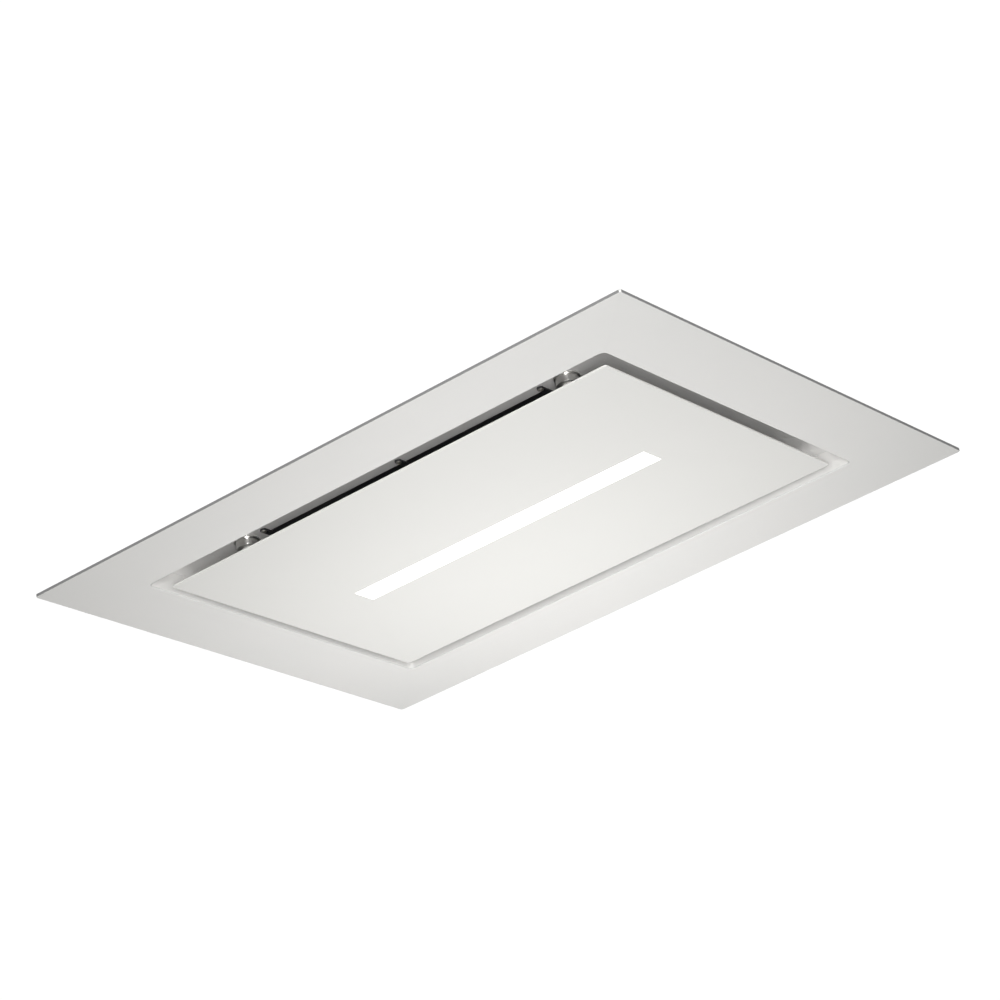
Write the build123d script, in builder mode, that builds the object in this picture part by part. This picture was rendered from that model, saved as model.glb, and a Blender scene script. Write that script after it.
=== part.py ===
from build123d import *
import os
from math import atan2, cos, degrees, pi, radians, sin, sqrt

# Ceiling range hood. Millimetres. +X runs along the long side, +Y from the catch side to
# the hinge side, +Z up. The origin is the centre of the hood in the ceiling line, z = 0.

# --- fascia frame: the white frame seen under the ceiling
fascia_length = 1000.0
fascia_width = 750.0
fascia_depth = 4.0
fascia_sheet = 1.2
fascia_corner_radius = 4.0
fascia_edge_radius = 0.6
opening_edge_radius = 2.0
opening_corner_radius = 8.0
lip_height = 14.0
magnet_length = 30.0
magnet_width = 12.0

# --- suction panel
panel_length = 748.0
panel_width = 488.0
slot_ends = 17.0
slot_sides = 26.0
panel_drop = 3.0
panel_depth = 16.0
panel_sheet = 1.2
panel_edge = 2.0
pan_inset = 28.0
pan_inset_rear = 6.0
pan_foot = 10.0
panel_corner_radius = 4.0
panel_edge_radius = 0.6
panel_fit = 0.3
rib_width = 40.0
rib_end_gap = 6.0

# --- light strip in the panel
led_length = 505.0
led_width = 38.0
led_offset = 10.0
led_channel_wall = 1.5
led_channel_height = 12.0
led_seat = 4.5
led_board_width = 20.0
led_board_thickness = 1.6
led_chip_size = 5.0
led_chip_thickness = 1.2
led_chip_count = 24
diffuser_flange = 1.5

# --- casing above the ceiling
casing_margin_ends = 27.0
casing_margin_sides = 28.0
casing_height = 290.0
casing_sheet = 1.2
weld_seam = 0.05
casing_corner_radius = 3.0
ceiling_flange_reach = 30.0
ceiling_hole_radius = 3.3
ceiling_hole_spacing = 400.0
lip_gap = 0.8
skirt_top = 28.0
skirt_flange = 14.0
top_flange = 16.0

# --- recess tray
tray_sheet = 1.2
tray_underside = 36.0
tray_slope_ends = 58.0
tray_slope_front = 57.0
tray_slope_rear = 77.0
tray_seam = 0.5

# --- grease filters
filter_inset_ends = 90.0
filter_inset_front = 27.0
filter_inset_rear = 33.0
filter_gap = 0.5
filter_thickness = 9.0
filter_border = 12.0
filter_frame_sheet = 1.0
filter_tongue_width = 22.0
filter_tongue_reach = 12.0
mesh_thickness = 4.0
mesh_raise = 2.0
mesh_columns = 10
mesh_rows = 14
mesh_strand = 4.0

# --- turn clips under the filters' front edge
clip_setback = 10.0
clip_width = 9.0
clip_tail = 5.0
clip_reach = 19.0
clip_thickness = 2.5
clip_gap = 0.3
clip_corner_radius = 4.0
clip_screw_radius = 2.0
clip_head_radius = 4.0
clip_head_height = 2.0

# --- hinges and catches carry the panel at the same two stations
hinge_inset = 57.0
hinge_setback = 8.0
hinge_pin_radius = 2.5
hinge_wall = 2.0
knuckle_length = 14.0
knuckle_gap = 0.5
outer_knuckle_length = 10.0
hinge_pin_overhang = 1.0
leaf_sheet = 1.5
leaf_reach = 34.0
leaf_gap = 0.5
arm_thickness = 4.0
arm_foot_length = 36.0
arm_foot_width = 36.0
arm_foot_sheet = 3.0
arm_foot_margin = 13.0
arm_foot_radius = 3.0
catch_shift = 7.0
catch_radius = 15.0
catch_wall = 1.2
catch_drop = 12.0
catch_rim_radius = 17.5
catch_edge_radius = 0.9
plunger_radius = 7.0
plunger_head_radius = 12.4
plunger_head = 2.0
plunger_stick_out = 3.0
plunger_edge_radius = 1.0
plunger_seat_gap = 0.05
catch_fit = 0.3
spring_wire_radius = 0.5
spring_radius = 9.0
spring_turns = 4
spring_seat_gap = 0.1
striker_gap = 0.3
striker_radius = 4.0
striker_foot_radius = 9.0
striker_foot = 3.0

# --- blower
deck_height = 70.0
deck_sheet = 1.2
deck_fold = 18.0
deck_fit = 0.3
blower_x = 0.0
blower_y = 20.0
inlet_throat_radius = 88.0
inlet_mouth_radius = 100.0
inlet_height = 14.0
inlet_flange = 14.0
inlet_sheet = 1.2
bell_bulge = 0.75
impeller_radius = 116.0
impeller_inner_radius = 96.0
impeller_height = 78.0
impeller_lift = 2.0
impeller_sheet = 1.5
impeller_eye_radius = 91.0
blade_count = 40
blade_chord_share = 0.95
blade_sheet = 1.2
blade_tilt = 35.0
hub_radius = 16.0
hub_length = 26.0
hub_rise = 5.0
scroll_gap = 12.0
scroll_step = 20.0
scroll_start = -45.0
volute_height = 106.0
volute_sheet = 2.0
shaft_hole_radius = 24.0

# --- motor on top of the blower
motor_radius = 62.0
motor_height = 66.0
motor_wall = 2.5
motor_floor = 3.0
motor_cap_thickness = 3.0
motor_ear_offset = 71.0
motor_ear_radius = 10.0
motor_ear_sheet = 3.0
motor_ear_count = 3
bush_height = 8.0
bush_radius = 9.0
motor_screw_radius = 2.5
shaft_radius = 4.0
shaft_fit = 0.05
bearing_radius = 11.0
bearing_length = 7.0
bearing_wall = 4.0
motor_floor_hole_radius = 8.0
shaft_end_gap = 1.0
stator_inner_radius = 34.0
stator_height = 36.0
rotor_gap = 0.5

# --- duct outlet
collar_radius = 74.5
collar_wall = 1.5
collar_length = 55.0
collar_flange = 14.0
collar_lift = 78.0
adapter_length = 80.0
adapter_corner_radius = 6.0
damper_pin_radius = 1.5
damper_pin_offset = 9.0
damper_knuckle_radius = 2.9
damper_fit = 0.05
damper_edge_gap = 1.0
damper_plate = 1.2
damper_root = 4.2
damper_knuckle_gap = 1.5
damper_knuckle_count = 4
damper_end_gap = 6.0
damper_tab_overlap = 1.0
damper_stop_width = 4.0
damper_stop_sheet = 1.5
damper_stop_gap = 0.3

# --- electrics
control_length = 190.0
control_width = 150.0
control_height = 60.0
control_sheet = 1.2
control_margin_end = 23.8
control_margin_front = 28.8
board_margin = 14.0
board_sheet = 1.6
standoff_height = 8.0
standoff_radius = 4.0
terminal_length = 60.0
terminal_width = 18.0
terminal_height = 20.0
terminal_poles = 5
terminal_hole_radius = 3.0
transformer_length = 40.0
transformer_width = 30.0
relay_length = 27.0
relay_width = 15.0
board_part_height = 20.0
capacitor_radius = 15.0
capacitor_length = 58.0
driver_length = 160.0
driver_width = 42.0
driver_height = 30.0
driver_gap = 40.0
driver_corner_radius = 4.0
driver_edge_radius = 2.0
gland_bore_radius = 4.0
gland_thread_radius = 8.0
gland_nut_radius = 12.0
gland_dome_radius = 9.6
gland_outer_length = 22.0
gland_nut_length = 5.0
gland_height = 105.0

# --- hangers and screws
hanger_inset = 90.0
hanger_width = 60.0
hanger_height = 50.0
hanger_shelf = 40.0
hanger_sheet = 3.0
hanger_top = 250.0
hanger_rod_radius = 4.5
hanger_rod_offset = 22.0
hanger_bolt_spacing = 34.0
hanger_bolt_drop = 30.0
hanger_bolt_radius = 3.0
screw_radius = 1.9
screw_head_radius = 3.8
screw_head_height = 2.2
screw_tail = 5.0

# --- levels and places worked out from the sizes above
fascia_face = -fascia_depth
opening_length = panel_length + 2 * slot_ends
opening_width = panel_width + 2 * slot_sides
skirt_length = opening_length + 2 * (fascia_sheet + lip_gap)
skirt_width = opening_width + 2 * (fascia_sheet + lip_gap)
casing_length = skirt_length + 2 * casing_margin_ends
casing_width = skirt_width + 2 * casing_margin_sides
inner_length = casing_length - 2 * casing_sheet
inner_width = casing_width - 2 * casing_sheet
tray_rim_length = skirt_length + 2 * skirt_flange
tray_rim_width = skirt_width + 2 * skirt_flange
tray_flat_length = skirt_length - 2 * tray_slope_ends
tray_flat_front = skirt_width / 2 - tray_slope_front
tray_flat_rear = skirt_width / 2 - tray_slope_rear
filter_opening_length = tray_flat_length - 2 * filter_inset_ends
filter_opening_front = tray_flat_front - filter_inset_front
filter_opening_rear = tray_flat_rear - filter_inset_rear
clip_line = filter_opening_front + clip_setback
catch_line = clip_line - catch_shift
hinge_station = tray_flat_length / 2 - hinge_inset
hinge_line = panel_width / 2 - hinge_setback
arm_foot_front = tray_flat_rear - arm_foot_margin - arm_foot_length
hanger_station = casing_length / 2 - hanger_inset
panel_face = fascia_face - panel_drop
panel_top = panel_face + panel_depth
knuckle_radius = hinge_pin_radius + hinge_wall
hinge_level = panel_top + leaf_sheet + leaf_gap + knuckle_radius
catch_bottom = tray_underside - catch_drop
plunger_tip = catch_bottom - plunger_stick_out
deck_top = deck_height + deck_sheet
impeller_bottom = deck_height + inlet_height + impeller_lift
impeller_top = impeller_bottom + impeller_height
volute_top = deck_top + volute_height
motor_base = volute_top + bush_height
motor_top = motor_base + motor_height
scroll_radius = impeller_radius + scroll_gap
outlet_x = casing_length / 2 - casing_sheet - adapter_length
collar_level = deck_top + collar_lift
filter_length = (filter_opening_length - 3 * filter_gap) / 2
filter_width = filter_opening_front + filter_opening_rear - 2 * filter_gap
filter_middle = (filter_opening_rear - filter_opening_front) / 2
blower_at = (blower_x, blower_y)
control_x = control_margin_end + (control_length - inner_length) / 2
control_y = control_margin_front + (control_width - inner_width) / 2
control_at = (control_x, control_y)

os.makedirs("parts", exist_ok=True)


def save(piece, name):
    """Label a finished piece and write it under its own name."""
    piece.part.label = name
    export_step(piece.part, f"parts/{name}.step")


def ring(outer_length, outer_width, outer_radius, inner_length, inner_width, inner_radius):
    """Rectangular ring in the sketch that is open."""
    RectangleRounded(outer_length, outer_width, outer_radius)
    RectangleRounded(inner_length, inner_width, inner_radius, mode=Mode.SUBTRACT)


def corner_lines(outer_length, outer_width, inner_length, inner_width):
    """Lines from the four inner corners of a ring to its outer ones."""
    lines = []
    for x in (-0.5, 0.5):
        for y in (-0.5, 0.5):
            lines.append((Vector(x * inner_length, y * inner_width),
                          Vector(x * outer_length, y * outer_width)))
    return lines


def weld_seams(bottom, height, lines):
    """Hair-thin seams through the open part, where strips of sheet are welded edge to edge."""
    with BuildSketch(Plane.XY.offset(bottom)) as seams:
        for start, end in lines:
            run = end - start
            with Locations((start + end) * 0.5):
                Rectangle(run.length, weld_seam, rotation=degrees(atan2(run.Y, run.X)))
    extrude(seams.sketch, amount=height, mode=Mode.SUBTRACT)


def round_bar(plane, radius, length):
    """Round bar standing on a plane, added to the part that is open."""
    with BuildSketch(plane) as disc:
        Circle(radius)
    extrude(disc.sketch, amount=length)


def facing_x(x, y, z):
    """Plane at a point, its normal along +X and its first axis along +Y."""
    return Plane(origin=(x, y, z), x_dir=(0, 1, 0), z_dir=(1, 0, 0))


def screws(name, heads, head_radius=screw_head_radius, head_height=screw_head_height,
           shank_radius=screw_radius, shank_length=screw_tail):
    """A group of like screws: each plane lies under a head, its normal along the shank."""
    with BuildPart() as group:
        for plane in heads:
            round_bar(plane.offset(-head_height), head_radius, head_height)
            round_bar(plane, shank_radius, shank_length)
    save(group, name)


# ---------------------------------------------------------------------------
# Fascia frame: four folded strips with a rim outside and a lip inside, welded at the mitres
# ---------------------------------------------------------------------------
with BuildPart() as fascia_frame:
    with BuildSketch(Plane.XY.offset(fascia_face)):
        ring(fascia_length, fascia_width, fascia_corner_radius,
             opening_length, opening_width, opening_corner_radius)
    extrude(amount=fascia_sheet)
    with BuildSketch(Plane.XY.offset(fascia_face)):
        ring(fascia_length, fascia_width, fascia_corner_radius,
             fascia_length - 2 * fascia_sheet, fascia_width - 2 * fascia_sheet,
             fascia_corner_radius - fascia_sheet)
    extrude(amount=fascia_depth)
    with BuildSketch(Plane.XY.offset(fascia_face)):
        ring(opening_length + 2 * fascia_sheet, opening_width + 2 * fascia_sheet,
             opening_corner_radius + fascia_sheet,
             opening_length, opening_width, opening_corner_radius)
    extrude(amount=lip_height)
    face_edges = fascia_frame.edges().group_by(Axis.Z)[0]
    opening_edges = face_edges.filter_by(
        lambda edge: abs(edge.center().X) < opening_length / 2 + fascia_sheet
        and abs(edge.center().Y) < opening_width / 2 + fascia_sheet)
    rim_edges = face_edges - opening_edges
    fillet(rim_edges, fascia_edge_radius)
    fillet(opening_edges, opening_edge_radius)
    weld_seams(fascia_face, lip_height, corner_lines(
        fascia_length, fascia_width,
        opening_length - 2 * opening_corner_radius, opening_width - 2 * opening_corner_radius))
save(fascia_frame, "fascia_frame")

# Magnets fill the gap between the fascia sheet and the casing's ceiling flange.
magnet_thickness = fascia_depth - fascia_sheet - casing_sheet
magnet_x = (skirt_length + casing_length) / 4 + casing_sheet
magnet_y = (skirt_width + casing_width) / 4 + casing_sheet
with BuildPart() as fascia_magnets:
    with BuildSketch(Plane.XY.offset(fascia_face + fascia_sheet)):
        for side in (-1, 1):
            with Locations((0, side * magnet_y)):
                with GridLocations(skirt_length / 3, 1, 3, 1):
                    Rectangle(magnet_length, magnet_width)
            with Locations((side * magnet_x, 0)):
                with GridLocations(1, skirt_width / 2, 1, 2):
                    Rectangle(magnet_width, magnet_length)
    extrude(amount=magnet_thickness)
save(fascia_magnets, "fascia_magnets")

# ---------------------------------------------------------------------------
# Casing: four walls with the edge the lid sits on, ceiling flange, inner skirt
# ---------------------------------------------------------------------------
flange_length = casing_length + 2 * ceiling_flange_reach
flange_width = casing_width + 2 * ceiling_flange_reach
ceiling_hole_x = (casing_length + ceiling_flange_reach) / 2

# The scroll of the blower: arcs about centres that step round a square.
scroll_arcs = []
scroll_centre = Vector(blower_x, blower_y)
arc_start = scroll_start
arc_radius = scroll_radius
for arc_sweep in (90, 90, 90, -scroll_start):
    scroll_arcs.append((scroll_centre, arc_radius, arc_start, arc_sweep))
    arc_start += arc_sweep
    end_direction = Vector(cos(radians(arc_start)), sin(radians(arc_start)))
    scroll_end = scroll_centre + end_direction * arc_radius
    scroll_centre = scroll_centre - end_direction * scroll_step
    arc_radius += scroll_step
scroll_tongue = Vector(blower_x + scroll_radius * cos(radians(scroll_start)),
                       blower_y + scroll_radius * sin(radians(scroll_start)))
outlet_y = (scroll_tongue.Y + scroll_end.Y) / 2
outlet_width = scroll_tongue.Y - scroll_end.Y
collar_base = facing_x(casing_length / 2, outlet_y, collar_level)

wall_screw_level = deck_height - deck_fold / 2
deck_screw_planes = []
for side in (-1, 1):
    for x in (-casing_length / 3, 0, casing_length / 3):
        deck_screw_planes.append(
            Plane(origin=(x, side * casing_width / 2, wall_screw_level), z_dir=(0, -side, 0)))
    deck_screw_planes.append(
        Plane(origin=(side * casing_length / 2, casing_width / 4, wall_screw_level), z_dir=(-side, 0, 0)))

hanger_bolt_planes = []
for side in (-1, 1):
    for x in (-hanger_station, hanger_station):
        for shift in (-hanger_bolt_spacing / 2, hanger_bolt_spacing / 2):
            bracket_face = side * (casing_width / 2 + hanger_sheet)
            hanger_bolt_planes.append(
                Plane(origin=(x + shift, bracket_face, hanger_top - hanger_bolt_drop), z_dir=(0, -side, 0)))

top_screw_points = []
for side in (-1, 1):
    for x in (-casing_length / 3, 0, casing_length / 3):
        top_screw_points.append((x, side * (inner_width - top_flange) / 2))
    top_screw_points.append((side * (inner_length - top_flange) / 2, 0))

tray_screw_points = []
for side in (-1, 1):
    for x in (-tray_rim_length / 3, 0, tray_rim_length / 3):
        tray_screw_points.append((x, side * (skirt_width + skirt_flange + casing_sheet) / 2))
    tray_screw_points.append((side * (skirt_length + skirt_flange + casing_sheet) / 2, 0))

gland_plane = Plane(origin=(-casing_length / 2, control_y, gland_height), z_dir=(-1, 0, 0))

skirt_corner_radius = opening_corner_radius + fascia_sheet + lip_gap
with BuildPart() as ceiling_flange:
    with BuildSketch(Plane.XY.offset(-casing_sheet)):
        ring(flange_length, flange_width, casing_corner_radius,
             casing_length + 2 * weld_seam, casing_width + 2 * weld_seam, casing_corner_radius)
        with GridLocations(2 * ceiling_hole_x, ceiling_hole_spacing, 2, 2):
            Circle(ceiling_hole_radius, mode=Mode.SUBTRACT)
    extrude(amount=casing_sheet)
save(ceiling_flange, "ceiling_flange")

# Skirt: four folded strips that close the casing's foot and carry the recess tray.
with BuildPart() as casing_skirt:
    with BuildSketch(Plane.XY.offset(-casing_sheet)):
        ring(inner_length - 2 * weld_seam, inner_width - 2 * weld_seam, casing_corner_radius,
             skirt_length, skirt_width, skirt_corner_radius)
    extrude(amount=casing_sheet)
    with BuildSketch():
        ring(skirt_length + 2 * casing_sheet, skirt_width + 2 * casing_sheet,
             skirt_corner_radius + casing_sheet,
             skirt_length, skirt_width, skirt_corner_radius)
    extrude(amount=skirt_top)
    with BuildSketch(Plane.XY.offset(skirt_top - casing_sheet)):
        ring(tray_rim_length, tray_rim_width, casing_corner_radius,
             skirt_length, skirt_width, skirt_corner_radius)
        with Locations(*tray_screw_points):
            Circle(screw_radius, mode=Mode.SUBTRACT)
    extrude(amount=casing_sheet)
    weld_seams(-casing_sheet, skirt_top + casing_sheet, corner_lines(
        inner_length, inner_width,
        skirt_length - 2 * skirt_corner_radius, skirt_width - 2 * skirt_corner_radius))
save(casing_skirt, "casing_skirt")

# Walls: four sheets welded at the corners, with ledge strips inside for the lid.
ledge_length = inner_length - 2 * top_flange
ledge_width = inner_width - 2 * top_flange
with BuildPart() as casing_shell:
    with BuildSketch(Plane.XY.offset(-casing_sheet)):
        ring(casing_length, casing_width, casing_corner_radius,
             inner_length, inner_width, casing_corner_radius - casing_sheet)
    extrude(amount=casing_height + casing_sheet)
    with BuildSketch(Plane.XY.offset(casing_height - casing_sheet)):
        ring(inner_length - 2 * weld_seam, inner_width - 2 * weld_seam, casing_corner_radius,
             ledge_length, ledge_width, casing_corner_radius)
        with Locations(*top_screw_points):
            Circle(screw_radius, mode=Mode.SUBTRACT)
    extrude(amount=casing_sheet)
    weld_seams(-casing_sheet, casing_height + casing_sheet, corner_lines(
        casing_length, casing_width,
        ledge_length - 2 * casing_corner_radius, ledge_width - 2 * casing_corner_radius))
    with BuildSketch(collar_base):
        Circle(collar_radius - collar_wall)
    extrude(amount=-casing_sheet, mode=Mode.SUBTRACT)
    with BuildSketch(gland_plane):
        Circle(gland_thread_radius)
    extrude(amount=-casing_sheet, mode=Mode.SUBTRACT)
    for plane in deck_screw_planes:
        with BuildSketch(plane):
            Circle(screw_radius)
        extrude(amount=casing_sheet, mode=Mode.SUBTRACT)
    for plane in hanger_bolt_planes:
        with BuildSketch(plane.offset(hanger_sheet)):
            Circle(hanger_bolt_radius)
        extrude(amount=casing_sheet, mode=Mode.SUBTRACT)
save(casing_shell, "casing_shell")

with BuildPart() as casing_top:
    with BuildSketch(Plane.XY.offset(casing_height)):
        RectangleRounded(casing_length, casing_width, casing_corner_radius)
        with Locations(*top_screw_points):
            Circle(screw_radius, mode=Mode.SUBTRACT)
    extrude(amount=casing_sheet)
save(casing_top, "casing_top")

# Like screws hold the lid, the recess tray and the blower deck.
sheet_screw_planes = list(deck_screw_planes)
for x, y in top_screw_points:
    sheet_screw_planes.append(Plane(origin=(x, y, casing_height + casing_sheet), z_dir=(0, 0, -1)))
for x, y in tray_screw_points:
    sheet_screw_planes.append(Plane(origin=(x, y, skirt_top + tray_sheet), z_dir=(0, 0, -1)))
screws("sheet_screws", sheet_screw_planes)

# ---------------------------------------------------------------------------
# Recess tray: flat field with the filter opening, sloped border, rim on the skirt
# ---------------------------------------------------------------------------
tray_flat_width = tray_flat_front + tray_flat_rear
tray_flat_middle = (tray_flat_rear - tray_flat_front) / 2
outer_clip = (filter_opening_length - clip_width) / 2
clip_stations = (-outer_clip, 0.0, outer_clip)


def tray_body(lift):
    """Frustum from the skirt's inner edge up to the flat field, raised by lift."""
    with BuildSketch(Plane.XY.offset(skirt_top + lift)) as foot:
        Rectangle(skirt_length, skirt_width)
    with BuildSketch(Plane.XY.offset(tray_underside + lift)) as field:
        with Locations((0, tray_flat_middle)):
            Rectangle(tray_flat_length, tray_flat_width)
    loft(sections=[foot.sketch, field.sketch])


# The hips run from the field's corners past the rim's corners.
tray_hips = []
for x in (-0.5, 0.5):
    for side, field_edge in ((-0.5, -tray_flat_front), (0.5, tray_flat_rear)):
        hip_top = Vector(x * tray_flat_length, field_edge)
        hip_foot = Vector(x * skirt_length, side * skirt_width)
        tray_hips.append((hip_top, hip_foot + (hip_foot - hip_top) * 0.5))

with BuildPart() as tray_hollow:
    tray_body(0)
with BuildPart() as recess_tray:
    tray_body(tray_sheet)
    add(tray_hollow.part, mode=Mode.SUBTRACT)
    with BuildSketch(Plane.XY.offset(skirt_top)):
        RectangleRounded(tray_rim_length, tray_rim_width, casing_corner_radius)
        Rectangle(skirt_length - 2 * tray_seam, skirt_width - 2 * tray_seam, mode=Mode.SUBTRACT)
        with Locations(*tray_screw_points):
            Circle(screw_radius, mode=Mode.SUBTRACT)
    extrude(amount=tray_sheet)
    with BuildSketch(Plane.XY.offset(tray_underside)):
        with Locations((0, filter_middle)):
            Rectangle(filter_opening_length, filter_opening_front + filter_opening_rear)
        for x in clip_stations:
            with Locations((x, -clip_line)):
                Circle(clip_screw_radius)
    extrude(amount=tray_sheet, mode=Mode.SUBTRACT)
    with BuildSketch(Plane.XY.offset(tray_underside)):
        with Locations((0, tray_flat_middle)):
            Rectangle(tray_flat_length, tray_flat_width)
            Rectangle(tray_flat_length - 2 * weld_seam, tray_flat_width - 2 * weld_seam,
                      mode=Mode.SUBTRACT)
    extrude(amount=tray_sheet, mode=Mode.SUBTRACT)
    weld_seams(skirt_top, tray_underside - skirt_top + tray_sheet, tray_hips)
save(recess_tray, "recess_tray")

# ---------------------------------------------------------------------------
# Grease filters: a black frame with tongues over the tray's rear edge, and its mesh
# ---------------------------------------------------------------------------
tongue_bottom = tray_underside + tray_sheet + clip_gap
mesh_bottom = tray_underside + mesh_raise
mesh_length = filter_length - 2 * filter_frame_sheet
mesh_width = filter_width - 2 * filter_frame_sheet
mesh_pitch_x = (filter_length - 2 * filter_border) / mesh_columns
mesh_pitch_y = (filter_width - 2 * filter_border) / mesh_rows
for side, side_name in ((-1, "left"), (1, "right")):
    filter_x = side * (filter_length + filter_gap) / 2
    with BuildPart() as filter_frame:
        with BuildSketch(Plane.XY.offset(tray_underside)):
            with Locations((filter_x, filter_middle)):
                Rectangle(filter_length, filter_width)
        extrude(amount=filter_thickness)
        with BuildSketch(Plane.XY.offset(tray_underside)):
            with Locations((filter_x, filter_middle)):
                Rectangle(filter_length - 2 * filter_border, filter_width - 2 * filter_border)
        extrude(amount=filter_thickness, mode=Mode.SUBTRACT)
        with BuildSketch(Plane.XY.offset(mesh_bottom)):
            with Locations((filter_x, filter_middle)):
                Rectangle(mesh_length, mesh_width)
        extrude(amount=mesh_thickness, mode=Mode.SUBTRACT)
        with BuildSketch(Plane.XY.offset(tongue_bottom)):
            with Locations((filter_x, filter_opening_rear + filter_tongue_reach / 2 - filter_gap)):
                with GridLocations(filter_length / 2, 1, 2, 1):
                    Rectangle(filter_tongue_width, filter_tongue_reach)
        extrude(amount=filter_frame_sheet)
    save(filter_frame, f"filter_frame_{side_name}")
    with BuildPart() as filter_mesh:
        with BuildSketch(Plane.XY.offset(mesh_bottom)):
            with Locations((filter_x, filter_middle)):
                Rectangle(mesh_length, mesh_width)
                with GridLocations(mesh_pitch_x, mesh_pitch_y, mesh_columns, mesh_rows):
                    Rectangle(mesh_pitch_x - mesh_strand, mesh_pitch_y - mesh_strand, mode=Mode.SUBTRACT)
        extrude(amount=mesh_thickness)
    save(filter_mesh, f"filter_mesh_{side_name}")

# Turn clips: small bars on shoulder screws, their noses under the filter frames.
clip_top = tray_underside - clip_gap
clip_bottom = clip_top - clip_thickness
for x, clip_name in zip(clip_stations, ("left", "middle", "right")):
    with BuildPart() as filter_clip:
        with BuildSketch(Plane.XY.offset(clip_bottom)):
            with Locations((x, -clip_line + (clip_reach - clip_tail) / 2)):
                RectangleRounded(clip_width, clip_reach + clip_tail, clip_corner_radius)
            with Locations((x, -clip_line)):
                Circle(clip_screw_radius + shaft_fit, mode=Mode.SUBTRACT)
        extrude(amount=clip_thickness)
    save(filter_clip, f"filter_clip_{clip_name}")

screws("clip_screws",
       [Plane(origin=(x, -clip_line, clip_bottom - clip_gap)) for x in clip_stations],
       head_radius=clip_head_radius, head_height=clip_head_height, shank_radius=clip_screw_radius,
       shank_length=tray_underside + tray_sheet + screw_tail - clip_bottom)

# ---------------------------------------------------------------------------
# Touch catches: a round cup under the tray, a sprung plunger, a striker on the panel
# ---------------------------------------------------------------------------
plunger_seat = catch_bottom + catch_wall
spring_foot = plunger_seat + plunger_head + spring_wire_radius + spring_seat_gap
spring_head = tray_underside - spring_wire_radius - spring_seat_gap


def biarc(start, start_direction, end, end_direction):
    """Two tangent arcs from start to end, added to the line that is open."""
    chord = end - start
    both = start_direction + end_direction
    turn = 2 * (1 - start_direction.dot(end_direction))
    along = chord.dot(both)
    reach = (-along + sqrt(along * along + turn * chord.dot(chord))) / turn
    middle = (start + end + (start_direction - end_direction) * reach) / 2
    TangentArc(start, middle, tangent=start_direction)
    middle_direction = (end - start - both * reach).normalized()
    TangentArc(middle, end, tangent=middle_direction)


def coil(radius, foot, head, turns, centre):
    """Helix in quarter turns, each a biarc, as the line of a spring."""
    steps = 4 * turns
    rise = (head - foot) / steps
    slope = rise / (radius * pi / 2)
    points = []
    directions = []
    for step in range(steps + 1):
        angle = step * pi / 2
        spoke = Vector(radius * cos(angle), radius * sin(angle), foot + rise * step)
        points.append(Vector(*centre) + spoke)
        directions.append(Vector(-sin(angle), cos(angle), slope).normalized())
    for step in range(steps):
        biarc(points[step], directions[step], points[step + 1], directions[step + 1])


print("spring: least gap between its turns",
      round((spring_head - spring_foot) / spring_turns - 2 * spring_wire_radius, 3))

for side, side_name in ((-1, "left"), (1, "right")):
    catch_at = (side * hinge_station, -catch_line)
    with BuildPart() as catch_body:
        with BuildSketch(Plane.XY.offset(catch_bottom)):
            with Locations(catch_at):
                Circle(catch_radius)
        extrude(amount=catch_drop)
        with BuildSketch(Plane.XY.offset(plunger_seat)):
            with Locations(catch_at):
                Circle(catch_radius - catch_wall)
        extrude(amount=catch_drop, mode=Mode.SUBTRACT)
        with BuildSketch(Plane.XY.offset(catch_bottom)):
            with Locations(catch_at):
                Circle(plunger_radius + catch_fit)
        extrude(amount=catch_wall, mode=Mode.SUBTRACT)
        with BuildSketch(Plane.XY.offset(tray_underside - catch_wall)):
            with Locations(catch_at):
                Circle(catch_rim_radius)
                Circle(catch_radius - catch_wall, mode=Mode.SUBTRACT)
        extrude(amount=catch_wall)
        fillet(catch_body.edges().group_by(Axis.Z)[0].sort_by(SortBy.LENGTH)[-1], catch_edge_radius)
    save(catch_body, f"catch_body_{side_name}")

    with BuildPart() as catch_plunger:
        with BuildSketch(Plane.XY.offset(plunger_tip)):
            with Locations(catch_at):
                Circle(plunger_radius)
        extrude(amount=plunger_seat - plunger_tip + plunger_head)
        with BuildSketch(Plane.XY.offset(plunger_seat + plunger_seat_gap)):
            with Locations(catch_at):
                Circle(plunger_head_radius)
        extrude(amount=plunger_head - plunger_seat_gap)
        fillet(catch_plunger.edges().group_by(Axis.Z)[0], plunger_edge_radius)
    save(catch_plunger, f"catch_plunger_{side_name}")

    with BuildPart() as catch_spring:
        with BuildLine() as spring_path:
            coil(spring_radius, spring_foot, spring_head, spring_turns, catch_at)
        with BuildSketch(Plane(origin=spring_path.line @ 0, z_dir=spring_path.line % 0)):
            Circle(spring_wire_radius)
        sweep()
    save(catch_spring, f"catch_spring_{side_name}")

with BuildPart() as strikers:
    for side in (-1, 1):
        striker_plane = Plane(origin=(side * hinge_station, -catch_line, panel_top))
        round_bar(striker_plane, striker_foot_radius, striker_foot)
        round_bar(striker_plane, striker_radius, plunger_tip - striker_gap - panel_top)
save(strikers, "strikers")

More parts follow.
